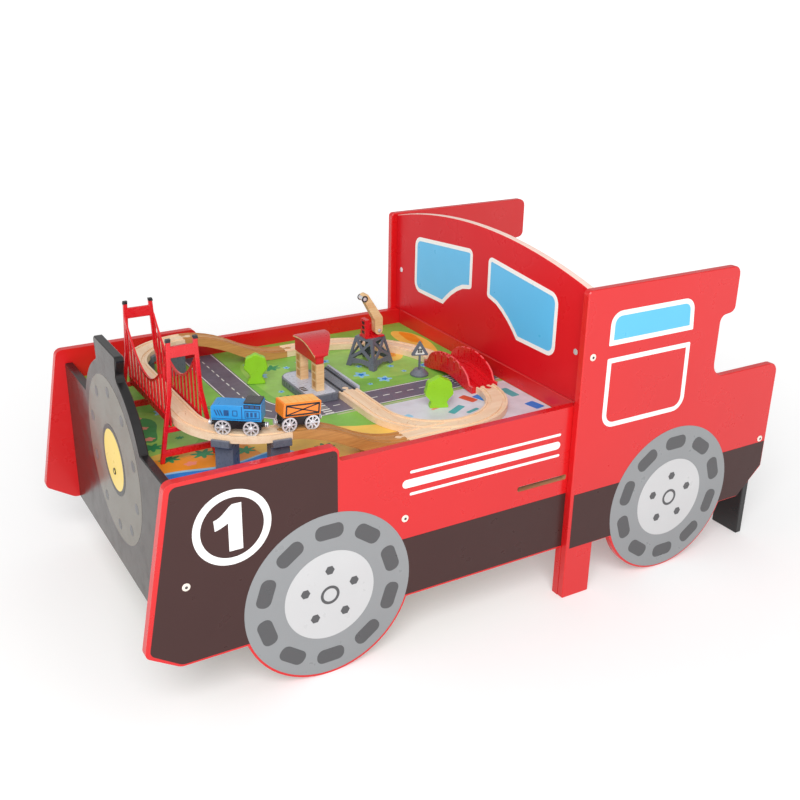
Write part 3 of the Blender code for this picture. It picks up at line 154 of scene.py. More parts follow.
def makeDustGroup():
    # a breath of dust on what faces up
    inputs = {"Colour": (0.5, 0.5, 0.5, 1), "Dust": (0.75, 0.73, 0.70, 1), "Amount": 0.05, "Scale": 30.0}
    group, given, out, place = newGroup("dustFilm", inputs, ["Colour"])
    up = addNode(group, "SeparateXYZ", {0: addNode(group, "NewGeometry").outputs["Normal"]}).outputs["Z"]
    cloud = spread(group, noise(group, place, given["Scale"], 5), 0.2, 1)
    mask = calc(group, "MULTIPLY", spread(group, up, 0, 1, 0.4, 1.0), cloud)
    share = calc(group, "MULTIPLY", mask, given["Amount"], clamp=True)
    group.links.new(mixTint(group, share, given["Colour"], given["Dust"]), out["Colour"])
    return group


def makeGlowGroup():
    # white paper sweep: hardly lit from within near the middle, more so far away
    group, given, out, place = newGroup("paperGlow", {"Near": 0.2, "Far": 0.6, "Reach": 6.0}, ["Colour"])
    away = vectorCalc(group, "LENGTH", place)
    group.links.new(spread(group, away, given["Near"], given["Far"], 0.7, given["Reach"]), out["Colour"])
    return group


skinGroup = makeSkinGroup()
grainGroup = makeGrainGroup()
edgeGroup = makeEdgeGroup()
dustGroup = makeDustGroup()
glowGroup = makeGlowGroup()


# Finishes

finishes = {}


def tint(red, green, blue):
    # a paint chart's 0 to 255 value, as the shader's own light value
    def channel(value):
        share = value / 255
        return share / 12.92 if share < 0.04045 else ((share + 0.055) / 1.055) ** 2.4
    return (channel(red), channel(green), channel(blue), 1)


def placeGroup(tree, group, values):
    node = tree.nodes.new("ShaderNodeGroup")
    node.node_tree = group
    return setInputs(tree, node, values).outputs


def finishMaterial(name, group, values, wearAndLight=None, dust=None, bump=0.1, **shine):
    mat = bpy.data.materials.new(name)
    mat.use_nodes = True
    tree = mat.node_tree
    shader = tree.nodes["Principled BSDF"]
    base = placeGroup(tree, group, values)
    colour = base["Colour"]
    if wearAndLight:  # edge tone for wear and painted light: red, green, blue, radius and amount
        edgeInputs = {"Colour": colour, "EdgeTone": tint(*wearAndLight[:3]), "Radius": wearAndLight[3], "Amount": wearAndLight[4]}
        colour = placeGroup(tree, edgeGroup, edgeInputs)["Colour"]
    if dust:
        colour = placeGroup(tree, dustGroup, {"Colour": colour, "Amount": dust})["Colour"]
    tree.links.new(colour, shader.inputs["Base Color"])
    tree.links.new(base["Roughness"], shader.inputs["Roughness"])
    lift = addNode(tree, "Bump", {"Strength": bump, "Distance": 0.0002, "Height": base["Height"]})
    tree.links.new(lift.outputs[0], shader.inputs["Normal"])
    for key, value in shine.items():
        shader.inputs[key.replace("_", " ")].default_value = value
    return mat


def paint(name, colour, skin, wearAndLight=None, bump=0.05, **rest):
    finishes[name] = finishMaterial(name, skinGroup, {"Colour": tint(*colour), **skin}, wearAndLight, bump=bump, **rest)


def wood(name, light, dark, scale, contrast, wearAndLight=None, bump=0.15, turn=0.0):
    grain = {"Light": tint(*light), "Dark": tint(*dark), "Scale": scale, "Contrast": contrast, "Turn": turn}
    finishes[name] = finishMaterial(name, grainGroup, grain, wearAndLight, bump=bump)


boardPaint = {"Variation": 0.07, "Scale": 5.0, "Roughness": 0.30, "Smudge": 0.05, "Peel": 420.0}
printInk = {"Variation": 0.08, "Scale": 9.0, "Roughness": 0.33, "Smudge": 0.06, "Peel": 420.0}
glossyInk = {**printInk, "Roughness": 0.2}
paperPrint = {"Variation": 0.35, "Scale": 26.0, "Roughness": 0.42, "Smudge": 0.08, "Peel": 700.0}
toyPlastic = {"Variation": 0.10, "Scale": 40.0, "Roughness": 0.30, "Smudge": 0.08, "Peel": 900.0}
toyPaint = {"Variation": 0.12, "Scale": 60.0, "Roughness": 0.34, "Smudge": 0.08, "Peel": 1200.0}
castMetal = {"Variation": 0.2, "Scale": 90.0, "Roughness": 0.3, "Smudge": 0.12, "Peel": 1500.0}

# the pale edge tones below give worn edges with a painted highlight along their rounding
paint("redLacquer", (212, 22, 26), boardPaint, (240, 90, 80, 0.0015, 0.35), 0.03, Coat_Weight=0.15)
paint("screenLacquer", (214, 24, 34), boardPaint, (236, 90, 86, 0.0015, 0.35), 0.03, Specular_IOR_Level=0.15)
paint("blackLacquer", (22, 20, 21), boardPaint, (70, 66, 64, 0.0015, 0.25), 0.03, Coat_Weight=0.15)
paint("charcoalInk", (64, 38, 36), printInk, bump=0.03, Specular_IOR_Level=0.3)
paint("noseInk", (50, 41, 35), glossyInk, bump=0.03, Specular_IOR_Level=0.2)
paint("discInk", (112, 106, 94), glossyInk, bump=0.03, Specular_IOR_Level=0.2)
paint("greyPlastic", (100, 104, 116), toyPlastic, dust=0.10)
paint("blackPlastic", (26, 26, 30), toyPlastic, dust=0.06)
paint("redPlastic", (214, 16, 28), toyPlastic, (240, 80, 80, 0.0007, 0.3), Coat_Weight=0.2)
# paler red for the hump bridge's beads: a painted highlight on the glossy top edges
paint("paintedHighlightRed", (238, 92, 96), toyPlastic, Coat_Weight=0.2)
paint("roofPaint", (206, 22, 34), toyPaint, (238, 120, 110, 0.0010, 0.4), Coat_Weight=0.2)
paint("leafGreen", (146, 208, 38), toyPaint, (190, 232, 96, 0.0008, 0.4), 0.06)
paint("engineBlue", (18, 140, 208), toyPaint, (96, 176, 226, 0.0007, 0.4), Coat_Weight=0.2)
paint("wagonOrange", (244, 132, 36), toyPaint, (250, 180, 100, 0.0008, 0.5), Coat_Weight=0.1)
paint("wheelMetal", (226, 226, 230), castMetal, Metallic=0.45)
paint("grassPrint", (128, 190, 66), paperPrint, bump=0.03, dust=0.04)

plainColours = [
    (toyPlastic, 0.05, {"paleGreyPlastic": (192, 196, 208), "capPlastic": (240, 226, 214)}),
    (toyPaint, 0.05, {"engineDark": (12, 74, 128), "blackPaint": (30, 28, 30)}),
    (printInk, 0.03, {
        "tyreInk": (143, 145, 147), "slotInk": (82, 82, 84), "hubInk": (200, 200, 201),
        "whiteInk": (246, 244, 242), "windowInk": (92, 190, 240), "yellowInk": (246, 216, 100)}),
    (paperPrint, 0.03, {
        "meadowPrint": (160, 208, 96), "roadPrint": (108, 100, 116), "markPrint": (240, 240, 232),
        "sandPrint": (248, 200, 88), "earthPrint": (244, 152, 34), "waterPrint": (10, 128, 216),
        "shorePrint": (150, 208, 236), "pavingPrint": (220, 220, 228), "bushPrint": (32, 150, 90),
        "bedPrint": (70, 150, 84), "coralPrint": (244, 150, 130), "kerbPrint": (186, 184, 150),
        "tealPrint": (70, 176, 180), "brickPrint": (220, 92, 60)}),
]
for skin, bump, colours in plainColours:
    for name, colour in colours.items():
        paint(name, colour, skin, bump=bump)

# the darker edge tones of the beech tracks and the ramps paint shade along their edges and into their grooves
beechLight, beechDark, beechGrooveShade = (246, 222, 192), (222, 180, 138), (206, 160, 116, 0.0006, 0.5)
wood("beechX", beechLight, beechDark, 70.0, 0.75, beechGrooveShade)
wood("beechY", beechLight, beechDark, 70.0, 0.75, beechGrooveShade, turn=pi / 2)
wood("beechUp", (240, 208, 160), (204, 152, 98), 110.0, 0.9)
wood("rampWood", (214, 158, 92), (168, 108, 52), 70.0, 0.9, (128, 74, 30, 0.0010, 0.8))
wood("rawBoard", (196, 150, 110), (150, 104, 70), 130.0, 0.8, bump=0.2)
wood("plainWood", (214, 178, 132), (176, 132, 86), 50.0, 0.8, bump=0.2)
wood("paleEdge", (252, 226, 214), (240, 190, 175), 110.0, 0.5, bump=0.1)
wood("wagonTop", (250, 196, 112), (236, 158, 70), 120.0, 0.8, bump=0.1)
print("finishes made:", len(finishes))

nodeFinishes = {
    "redLacquer": ["side_panel_left", "side_panel_right", "cab_side_left", "cab_side_right",
                   "tray_end_rail", "seat_board", "seat_front_rail"],
    "screenLacquer": ["windshield_panel"],
    "blackLacquer": ["front_panel", "rear_panel"],
    "grassPrint": ["play_board"],
    "plainWood": ["board_cleat_left", "board_cleat_right", "board_stretcher", "seat_cleat_left",
                  "seat_cleat_right"],
    "beechX": ["far_straight", "turnout", "right_curve", "far_curve_left", "far_curve_right"],
    "beechY": ["deck_track", "raised_curve_near", "raised_curve_far", "branch_curve", "branch_straight"],
    "beechUp": ["station_post_near", "station_post_far", "crane_boom"],
    "rampWood": ["ramp_near", "ramp_far"],
    "greyPlastic": ["pier_near_curve", "pier_near_ramp", "pier_far_curve", "pier_far_ramp", "platform_track",
                    "station_platform", "crane_tower", "sign_base", "road_sign"],
    "redPlastic": ["hump_bridge", "tower_near", "tower_far", "net_left", "net_right", "crane_fork"],
    "roofPaint": ["station_roof"],
    "leafGreen": ["tree_near", "tree_far"],
    "engineBlue": ["loco_body"],
    "wagonOrange": ["wagon_box"],
    "blackPlastic": ["loco_chassis", "wagon_chassis", "loco_roof"],
    "wheelMetal": ["loco_wheels_front", "loco_wheels_rear", "wagon_wheels_front", "wagon_wheels_rear",
                   "boom_tip_pin"],
}
for finish, names in nodeFinishes.items():
    for name in names:
        materials = frame["nodes"][name].data.materials
        materials.clear()
        materials.append(finishes[finish])


# Mesh helpers

def makePiece(name, bm, finish, body="table"):
    bmesh.ops.recalc_face_normals(bm, faces=bm.faces)
    mesh = bpy.data.meshes.new(name)
    bm.to_mesh(mesh)
    bm.free()
    mesh.shade_smooth()
    mesh.set_sharp_from_angle(angle=radians(30))
    mesh.materials.append(finishes[finish])
    obj = bpy.data.objects.new(name, mesh)
    bpy.context.scene.collection.objects.link(obj)
    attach(obj, body)


def rounded(corners, steps=6):
    # corners given as (u, v, radius), in order round the shape; an open line has radius 0 at its ends
    points = []
    for i, (u, v, radius) in enumerate(corners):
        here = Vector((u, v))
        back = Vector(corners[i - 1][:2]) - here
        ahead = Vector(corners[(i + 1) % len(corners)][:2]) - here
        half = back.angle(ahead) / 2
        if radius < 1e-6 or abs(half - pi / 2) < 0.01:
            points.append((u, v))
            continue
        reach = min(radius / tan(half), back.length * 0.499, ahead.length * 0.499)
        radius = reach * tan(half)
        centre = here + (back.normalized() + ahead.normalized()).normalized() * (radius / sin(half))
        first = here + back.normalized() * reach - centre
        turn = first.angle_signed(here + ahead.normalized() * reach - centre)
        points += [tuple(centre + Matrix.Rotation(-turn * k / steps, 2) @ first) for k in range(steps + 1)]
    return points


def boxCorners(u0, u1, v0, v1, radius):
    return [(u0, v0, radius), (u1, v0, radius), (u1, v1, radius), (u0, v1, radius)]


def boxShape(u0, u1, v0, v1, radius=0.0, steps=2):
    return rounded(boxCorners(u0, u1, v0, v1, radius), steps)


def circlePoints(u, v, radius, steps=48, start=0.0, end=2 * pi):
    count = steps if end - start > 6.28 else steps + 1
    angles = [start + (end - start) * k / steps for k in range(count)]
    return [(u + radius * cos(a), v + radius * sin(a)) for a in angles]


def turnsLeft(points):
    return sum(a[0] * b[1] - b[0] * a[1] for a, b in zip(points, points[1:] + points[:1])) > 0


def grow(points, margin):
    # the same shape with its outline moved out by the margin, or in where it is negative
    way = 1 if turnsLeft(points) else -1
    moved = []
    for i, here in enumerate(points):
        before = Vector(here) - Vector(points[i - 1])
        after = Vector(points[(i + 1) % len(points)]) - Vector(here)
        sides = [Vector((d.y, -d.x)).normalized() for d in (before, after) if d.length > 1e-9]
        out = sum(sides, Vector((0, 0))).normalized()
        stretch = max(0.35, out.dot(sides[0]))
        moved.append((here[0] + way * out.x * margin / stretch, here[1] + way * out.y * margin / stretch))
    return moved


def roundedBand(corners, width, steps=8):
    # outer and inner outline of a line that runs along the inside of the corners, with as many points each
    left = turnsLeft([c[:2] for c in corners])
    inner = grow([c[:2] for c in corners], -width)
    outer = rounded([(*c[:2], max(c[2], 0.0004)) for c in corners], steps)
    radii = []
    for i, (u, v, radius) in enumerate(corners):
        before = Vector((u, v)) - Vector(corners[i - 1][:2])
        after = Vector(corners[(i + 1) % len(corners)][:2]) - Vector((u, v))
        outward = (before.x * after.y - before.y * after.x > 0) == left
        radii.append(max(radius - width, 0.0003) if outward else radius + width)
    return outer, rounded([(*spot, radius) for spot, radius in zip(inner, radii)], steps)


def joinRings(bm, rings):
    # a closed skin over rings of as many points, capped at both ends
    bm.faces.new(rings[0])
    bm.faces.new(rings[-1])
    for a, b in zip(rings, rings[1:]):
        for i in range(len(a)):
            bm.faces.new((a[i - 1], a[i], b[i], b[i - 1]))


def addSlab(bm, outline, place, low, high):
    # a thin flat shape between two heights over a face
    joinRings(bm, [[bm.verts.new(place(u, v, h)) for u, v in outline] for h in (low, high)])


def addBand(bm, outer, inner, place, low, high):
    # a thin flat band between two outlines of as many points
    rows = [[bm.verts.new(place(u, v, h)) for u, v in line]
            for line, h in ((outer, low), (outer, high), (inner, high), (inner, low))]
    for i in range(len(outer)):
        for a, b in zip(rows, rows[1:] + rows[:1]):
            bm.faces.new((a[i - 1], a[i], b[i], b[i - 1]))


inkLayer = 0.0002  # thickness of one printed layer


def printShapes(name, shapes, place, finish, low=0, high=1, bands=(), body="table", slotName="red_board"):
    # low and high count layers of ink over the face
    bm = bmesh.new()
    for outline in shapes:
        addSlab(bm, outline, place, low * inkLayer, high * inkLayer)
    for outer, inner in bands:
        addBand(bm, outer, inner, place, low * inkLayer, high * inkLayer)
    makePiece(name, bm, finish, body)


def offsetLine(line, reach):
    moved = []
    for i, here in enumerate(line):
        ahead = Vector(line[min(i + 1, len(line) - 1)]) - Vector(line[max(i - 1, 0)])
        side = Vector((-ahead.y, ahead.x)).normalized() * reach
        moved.append((here[0] + side.x, here[1] + side.y))
    return moved


def lineShape(points, width):
    # an open line with a width, as one outline
    return offsetLine(points, width / 2) + offsetLine(points, -width / 2)[::-1]


def addLathe(bm, profile, steps, matrix):
    rings = []
    for radius, height in profile:
        turns = [2 * pi * k / steps for k in range(steps if radius > 1e-7 else 1)]
        rings.append([bm.verts.new(matrix @ Vector((radius * cos(a), radius * sin(a), height))) for a in turns])
    for a, b in zip(rings, rings[1:]):
        for k in range(steps):
            loop = [a[k % len(a)], a[(k + 1) % len(a)], b[(k + 1) % len(b)], b[k % len(b)]]
            bm.faces.new(list(dict.fromkeys(loop)))


def lathePiece(name, profile, steps, spots, finish, body):
    bm = bmesh.new()
    for spot in spots:
        addLathe(bm, profile, steps, spot)
    makePiece(name, bm, finish, body)


def facing(way):
    # turns a lathe's own Z to a direction
    return way.to_track_quat("Z", "Y").to_matrix().to_4x4()


# Faces that carry prints: a place along the face, a height over it

def sideFace(y, way):
    return lambda u, v, h: (u, y + way * h, v)


def endFace(x):
    return lambda u, v, h: (x - h, u, v)


def topFace(z):
    return lambda u, v, h: (u, v, z + h)


sideFaces = {"left": sideFace(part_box("side_panel_left")[0].y, -1),
             "right": sideFace(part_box("side_panel_right")[1].y, 1)}
cabFaces = {"left": sideFace(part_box("cab_side_left")[0].y, -1),
            "right": sideFace(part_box("cab_side_right")[1].y, 1)}
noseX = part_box("front_panel")[0].x
onNose = endFace(noseX)
onScreen = endFace(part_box("windshield_panel")[0].x)
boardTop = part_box("play_board")[1].z


# Printed wheels

wheelPrint = {
    "tyreRadius": 0.1483,
    "frontX": -0.3375,
    "rearX": 0.3885,
    "height": 0.1525,
    "slots": 10,
    "slotCircle": 0.1165,
    "slotLength": 0.050,
    "slotWidth": 0.0265,
    "slotRound": 0.0115,
    "hubRadius": 0.0802,
    "nuts": 5,
    "nutCircle": 0.046,
    "nutRadius": 0.0085,
    "middleRadius": 0.017,
    "middleLine": 0.005,
}


def aroundTop(u, v, reach, count):
    # as many places round a circle, the first at its top
    angles = [pi / 2 + 2 * pi * k / count for k in range(count)]
    return [(u + reach * cos(a), v + reach * sin(a), a) for a in angles]


def makeWheelPrint(name, u, place):
    p = wheelPrint
    v = p["height"]
    printShapes(name + "_tyre", [circlePoints(u, v, p["tyreRadius"], 96)], place, "tyreInk", 1, 2)
    half, wide = p["slotLength"] / 2, p["slotWidth"] / 2
    block = boxShape(-half, half, -wide, wide, p["slotRound"], 5)
    slots = []
    for x, z, angle in aroundTop(u, v, p["slotCircle"], p["slots"]):
        turn = Matrix.Rotation(-(angle - pi / 2), 2)
        slots.append([tuple(Vector((x, z)) + Vector(q) @ turn) for q in block])
    printShapes(name + "_slots", slots, place, "slotInk", 2, 3)
    printShapes(name + "_hub", [circlePoints(u, v, p["hubRadius"], 72)], place, "hubInk", 2, 3)
    nuts = [circlePoints(x, z, p["nutRadius"], 6) for x, z, angle in aroundTop(u, v, p["nutCircle"], p["nuts"])]
    outer = circlePoints(u, v, p["middleRadius"], 36)
    inner = circlePoints(u, v, p["middleRadius"] - p["middleLine"], 36)
    printShapes(name + "_nuts", nuts, place, "slotInk", 3, 4, [(outer, inner)])


for end, faces in (("front", sideFaces), ("rear", cabFaces)):
    for side, face in faces.items():
        makeWheelPrint(f"{side}_{end}_wheel", wheelPrint[end + "X"], face)


# Dark skirt of the side panels, and the number in a ring on the nose

skirtPrint = {
    "bottom": 0.1072,
    "top": 0.2170,
    "noseTip": -0.6365,
    "noseTipHeight": 0.140,
    "noseFoot": -0.588,
    "noseTopX": -0.5875,
    "noseTopHeight": 0.4075,
    "noseRight": -0.3222,
    "cabEdge": 0.1405,
}
ringPrint = {"u": -0.4975, "v": 0.3205, "outer": 0.0625, "inner": 0.0503, "digitTop": 0.3595, "digitFoot": 0.2815}


def skirtOutline():
    p = skirtPrint
    corners = [(p["noseTip"], p["noseTipHeight"], 0.012), (p["noseFoot"], p["bottom"], 0.020)]
    corners += [(p["cabEdge"], p["bottom"], 0), (p["cabEdge"], p["top"], 0), (p["noseRight"], p["top"], 0)]
    corners += [(p["noseRight"], p["noseTopHeight"], 0.009), (p["noseTopX"], p["noseTopHeight"], 0.012)]
    return rounded(corners)


def digitOutline(flip):
    # a plain figure one: straight stem with a curved flag
    u, top, foot = ringPrint["u"], ringPrint["digitTop"], ringPrint["digitFoot"]
    right, stem = u + 0.0155, u - 0.0065
    shares = [k / 6 for k in range(1, 6)]
    shape = [(right, foot), (right, top), (u + 0.001, top)]
    shape += [(u + 0.001 - 0.030 * s, top - 0.0205 * sin(s * pi / 2) ** 1.3) for s in shares]
    shape += [(u - 0.029, top - 0.0210), (u - 0.0275, top - 0.0385)]
    shape += [(u - 0.0275 + 0.021 * s, top - 0.0385 + 0.0085 * s ** 1.4) for s in shares]
    shape += [(stem, top - 0.0300), (stem, foot)]
    return [(2 * u - a, b) for a, b in shape] if flip else shape


def makeSkirt(name, place):
    printShapes(name + "_skirt", [skirtOutline()], place, "charcoalInk")
    ring = [circlePoints(ringPrint["u"], ringPrint["v"], ringPrint[key], 72) for key in ("outer", "inner")]
    printShapes(name + "_number", [digitOutline(name == "right")], place, "whiteInk", 1, 2, [ring])


for side, face in sideFaces.items():
    makeSkirt(side, face)


# Coach lines along the tray's sides: three plain white stripes with round ends

coachLine = {"left": -0.205, "right": 0.118, "height": 0.318, "wide": 0.015, "thin": 0.005, "gap": 0.010,
             "indent": 0.014}


def stripe(u0, u1, v, width):
    half = width / 2
    right = circlePoints(u1 - half, v, half, 12, -pi / 2, pi / 2)
    return right + circlePoints(u0 + half, v, half, 12, pi / 2, 3 * pi / 2)


def makeCoachLine(name, place):
    p = coachLine
    reach = p["wide"] / 2 + p["gap"] + p["thin"] / 2
    lines = [stripe(p["left"], p["right"], p["height"], p["wide"])]
    for v in (p["height"] - reach, p["height"] + reach):
        lines.append(stripe(p["left"] + p["indent"], p["right"], v, p["thin"]))
    printShapes(name + "_coach_line", lines, place, "whiteInk")


for side, face in sideFaces.items():
    makeCoachLine(side, face)


# Cab sides: skirt, window and door

cabPrint = {
    "bandLeft": 0.1475,
    "bandBottom": 0.1062,
    "bandTop": 0.2170,
    "tail": 0.6405,
    "tailCut": 0.5845,
    "tailRise": 0.1630,
    "left": 0.1955,
    "right": 0.3915,
    "windowLow": 0.4940,
    "windowHigh": 0.5555,
    "windowRound": 0.024,
    "doorLow": 0.3375,
    "doorHigh": 0.4705,
    "doorRound": 0.027,
    "stroke": 0.0092,
    "lean": 0.0025,
}


def makeCabPrint(name, place):
    p = cabPrint
    left, right, lean = p["left"], p["right"], p["lean"]
    band = [(p["bandLeft"], p["bandBottom"], 0), (p["tailCut"], p["bandBottom"], 0.006)]
    band += [(p["tail"], p["tailRise"], 0.005), (p["tail"], p["bandTop"], 0), (p["bandLeft"], p["bandTop"], 0)]
    printShapes(name + "_cab_skirt", [rounded(band)], place, "charcoalInk")
    window = [(left, p["windowLow"], 0.002), (right + lean, p["windowLow"], 0.002)]
    window += [(right - lean, p["windowHigh"], p["windowRound"]), (left, p["windowHigh"], p["windowRound"])]
    door = [(left, p["doorLow"], p["doorRound"]), (right + lean, p["doorLow"], p["doorRound"])]
    door += [(right, p["doorHigh"], 0.003), (left, p["doorHigh"], 0.003)]
    lines = [roundedBand(shape, p["stroke"]) for shape in (window, door)]
    printShapes(name + "_cab_lines", [], place, "whiteInk", 0, 1.5, lines)
    printShapes(name + "_cab_window", [grow(lines[0][1], 0.001)], place, "windowInk")


for side, face in cabFaces.items():
    makeCabPrint(side, face)


# Windshield: two windows over the curve of the bonnet, and the pale edge along its crown

screenPrint = {
    "outer": 0.241,
    "inner": 0.027,
    "bottom": 0.4480,
    "outerTop": 0.5660,
    "innerTop": 0.5865,
    "innerLow": 0.5060,
    "curveEnd": 0.1275,
    "stroke": 0.0082,
    "edgeThickness": 0.0004,
    "edgeMargin": 0.0012,
}


def makeScreenPrint():
    p = screenPrint
    bands = []
    for side in (-1, 1):
        corners = [(side * p["outer"], p["bottom"], 0.022), (side * p["outer"], p["outerTop"], 0.022)]
        corners += [(side * p["inner"], p["innerTop"], 0.012), (side * p["inner"], p["innerLow"], 0.008)]
        rise = p["innerLow"] - p["bottom"]
        for share in (0.3, 0.5, 0.7, 0.86):
            along = p["inner"] + (p["curveEnd"] - p["inner"]) * share
            corners.append((side * along, p["innerLow"] - rise * share ** 1.75, 0))
        corners.append((side * p["curveEnd"], p["bottom"], 0.004))
        bands.append(roundedBand(corners, p["stroke"]))
    printShapes("windshield_lines", [], onScreen, "whiteInk", 0, 1.5, bands)
    printShapes("windshield_panes", [grow(inside, 0.001) for outside, inside in bands], onScreen, "windowInk")


def makeCrownEdge():
    low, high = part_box("windshield_panel")
    mesh = frame["nodes"]["windshield_panel"].data
    middle = (low.x + high.x) / 2
    crown = [f for f in mesh.polygons if f.normal.z > 0.9 and f.center.z > 0.55]  # the faces that look up
    tops = [mesh.vertices[k].co for f in crown for k in f.vertices]
    line = sorted({(round(v.y, 4), round(v.z, 4)) for v in tops})
    reach = (high.x - low.x) / 2 - screenPrint["edgeMargin"]
    up = screenPrint["edgeThickness"]
    section = ((-reach, -0.0003), (-reach, up), (reach, up), (reach, -0.0003))
    bm = bmesh.new()
    joinRings(bm, [[bm.verts.new((middle + x, y, z + h)) for x, h in section] for y, z in line])
    makePiece("windshield_crown_edge", bm, "paleEdge", "table")


makeScreenPrint()
makeCrownEdge()


# Front: the smokebox door

nosePrint = {
    "u": 0.003,
    "v": 0.3125,
    "discRadius": 0.1485,
    "dots": 10,
    "dotCircle": 0.1235,
    "dotRadius": 0.0095,
    "rimOut": 0.0630,
    "rimIn": 0.0545,
    "knobHeight": 0.2915,
}


def makeNosePrint():
    p = nosePrint
    u, v = p["u"], p["v"]
    # the panel's own front outline, walked from vertex to vertex
    front = [c.co for c in frame["nodes"]["front_panel"].data.vertices if c.co.x < noseX + 0.0001]
    points = sorted({(round(c.y, 5), round(c.z, 5)) for c in front}, key=lambda q: atan2(q[1] - 0.26, q[0]))
    dots = [circlePoints(x, z, p["dotRadius"], 20) for x, z, angle in aroundTop(u, v, p["dotCircle"], p["dots"])]
    outer, inner = (circlePoints(u, v, p[key], 60) for key in ("rimOut", "rimIn"))
    for name, shapes, finish, low, high, bands in (
            ("face", [points], "noseInk", 0, 1, []),
            ("disc", [circlePoints(u, v, p["discRadius"], 96)], "discInk", 1, 2, []),
            ("dots", dots, "slotInk", 2, 3, []),
            ("ring", [], "blackPaint", 2, 3.5, [(outer, inner)]),
            ("lamp", [grow(inner, 0.0005)], "yellowInk", 2, 3, [])):
        printShapes("nose_" + name, shapes, onNose, finish, low, high, bands, slotName="black_board")
    spot = Matrix.Translation(onNose(u, p["knobHeight"], 0.0006)) @ Matrix.Rotation(-pi / 2, 4, "Y")
    ring = [(0.0036, 0), (0.0060, 0), (0.0060, 0.0011), (0.0052, 0.0016), (0.0036, 0.0012)]
    lathePiece("nose_screw_ring", ring, 24, [spot], "blackPlastic", "table")
    screw = [(0, 0), (0.0036, 0), (0.0036, 0.0010), (0.0020, 0.0014), (0, 0.0014)]
    lathePiece("nose_screw", screw, 20, [spot], "yellowInk", "table")


makeNosePrint()
print("prints on the boards made")


# Screw caps

screwCap = {"radius": 0.0065, "height": 0.0016, "socket": 0.0024, "camRadius": 0.0055, "camReach": 0.2975,
            "camHeight": 0.479}
capPlaces = {"nose": (-0.574, 0.241, sideFaces), "tray": (-0.199, 0.2555, sideFaces),
             "windshield": (0.1612, 0.4795, cabFaces), "rear": (0.6255, 0.2250, cabFaces)}
outward = {"left": Matrix.Rotation(pi / 2, 4, "X"), "right": Matrix.Rotation(-pi / 2, 4, "X")}


def makeCap(name, place):
    r, height, socket = screwCap["radius"], screwCap["height"], screwCap["socket"]
    profile = [(0, 0), (r, 0), (r, height * 0.5), (r * 0.82, height), (socket, height)]
    lathePiece(name, profile, 24, [place], "capPlastic", "table")
    inner = [(socket, height), (socket * 0.9, height * 0.4), (0, height * 0.4)]
    lathePiece(name + "_socket", inner, 6, [place], "slotInk", "table")


for capName, (u, v, faces) in capPlaces.items():
    for side, face in faces.items():
        makeCap(f"{side}_cap_{capName}", Matrix.Translation(face(u, v, 0.0001)) @ outward[side])
for side, label in ((-1, "left"), (1, "right")):
    r = screwCap["camRadius"]
    middle = onScreen(side * screwCap["camReach"], screwCap["camHeight"], 0)
    lathePiece(label + "_cam_lock", [(0, 0), (r, 0), (r, 0.0005), (r * 0.5, 0.0009), (0, 0.0009)], 20,
               [Matrix.Translation(middle) @ Matrix.Rotation(-pi / 2, 4, "Y")], "wheelMetal", "table")


# Raw wood inside the slots of the side panels

slotLining = {"right": 0.138, "length": 0.108, "height": 0.2505, "tall": 0.010, "thickness": 0.0003}


def makeSlotLining(side):
    p = slotLining
    low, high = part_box("side_panel_" + side)
    half = p["tall"] / 2
    outline = boxShape(p["right"] - p["length"], p["right"], p["height"] - half, p["height"] + half,
                       0.4 * p["tall"], 6)
    bm = bmesh.new()
    addBand(bm, grow(outline, -0.00005), grow(outline, -p["thickness"]), lambda u, v, h: (u, h, v),
            low.y + 0.0006, high.y - 0.0006)
    makePiece(side + "_slot_lining", bm, "rawBoard", "table")


makeSlotLining("left")
makeSlotLining("right")


# The play board's print: a made-up landscape with a road, lawns, a river with its beach and a paved yard

boardPrint = {
    "roadWidth": 0.066,
    "roadCorner": 0.085,
    "roadX": -0.322,
    "roadY": -0.052,
    "dash": 0.014,
    "dashGap": 0.012,
    "lineWidth": 0.0022,
    "layer": 0.165,  # in layers of ink, so that the eight together stay under the toys' feet
    "flowers": 26,
    "bushes": 18,
    "seed": 7,
}
boardLow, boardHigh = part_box("play_board")
boardEdge = 0.0006
left, right = boardLow.x + boardEdge, boardHigh.x - boardEdge
near, far = boardLow.y + boardEdge, boardHigh.y - boardEdge
layerOf = {name: k for k, name in enumerate(["field", "bank", "zone", "road", "mark", "flower", "heart", "plant"])}


def printBoard(name, shapes, finish, layer):
    high = boardPrint["layer"] * (layerOf[layer] + 0.6)
    clipped = [[(min(max(u, left), right), min(max(v, near), far)) for u, v in shape] for shape in shapes]
    printShapes("board_" + name, clipped, topFace(boardTop), finish, 0, high, slotName="play_print")


def wavy(u1, v, swing, waves, phase=0.0, steps=28):
    # a wavy bank from the board's left edge
    return [(left + (u1 - left) * k / steps, v + swing * sin(phase + waves * 2 * pi * k / steps))
            for k in range(steps + 1)]


def blob(u, v, across, deep, lobes=3, swing=0.12, phase=0.0, steps=30):
    points = []
    for k in range(steps):
        angle = 2 * pi * k / steps
        reach = 1 + swing * sin(lobes * angle + phase)
        points.append((u + across * reach * cos(angle), v + deep * reach * sin(angle)))
    return points


def dashes(line, length, gap, width):
    # short bars along a line, one for each step
    shapes = []
    along, wanted = 0.0, (length + gap) / 2
    for a, b in zip(line, line[1:]):
        a, b = Vector(a), Vector(b)
        reach = (b - a).length
        while wanted <= along + reach:
            spot, way = a + (b - a) * ((wanted - along) / reach), (b - a).normalized()
            side, half = Vector((-way.y, way.x)) * (width / 2), way * (length / 2)
            shapes.append([tuple(spot + i * half + j * side) for i, j in ((-1, -1), (1, -1), (1, 1), (-1, 1))])
            wanted += length + gap
        along += reach
    return shapes


def scatter(dice, count, spots, across, deep, apart, road, sizes):
    # more places that keep apart from the given ones and off the road
    for k in range(count):
        u, v = dice.uniform(*across), dice.uniform(*deep)
        if all(hypot(u - a, v - b) > apart for a, b, size in spots) and not road[0] < u < road[1]:
            spots.append((u, v, dice.uniform(*sizes)))


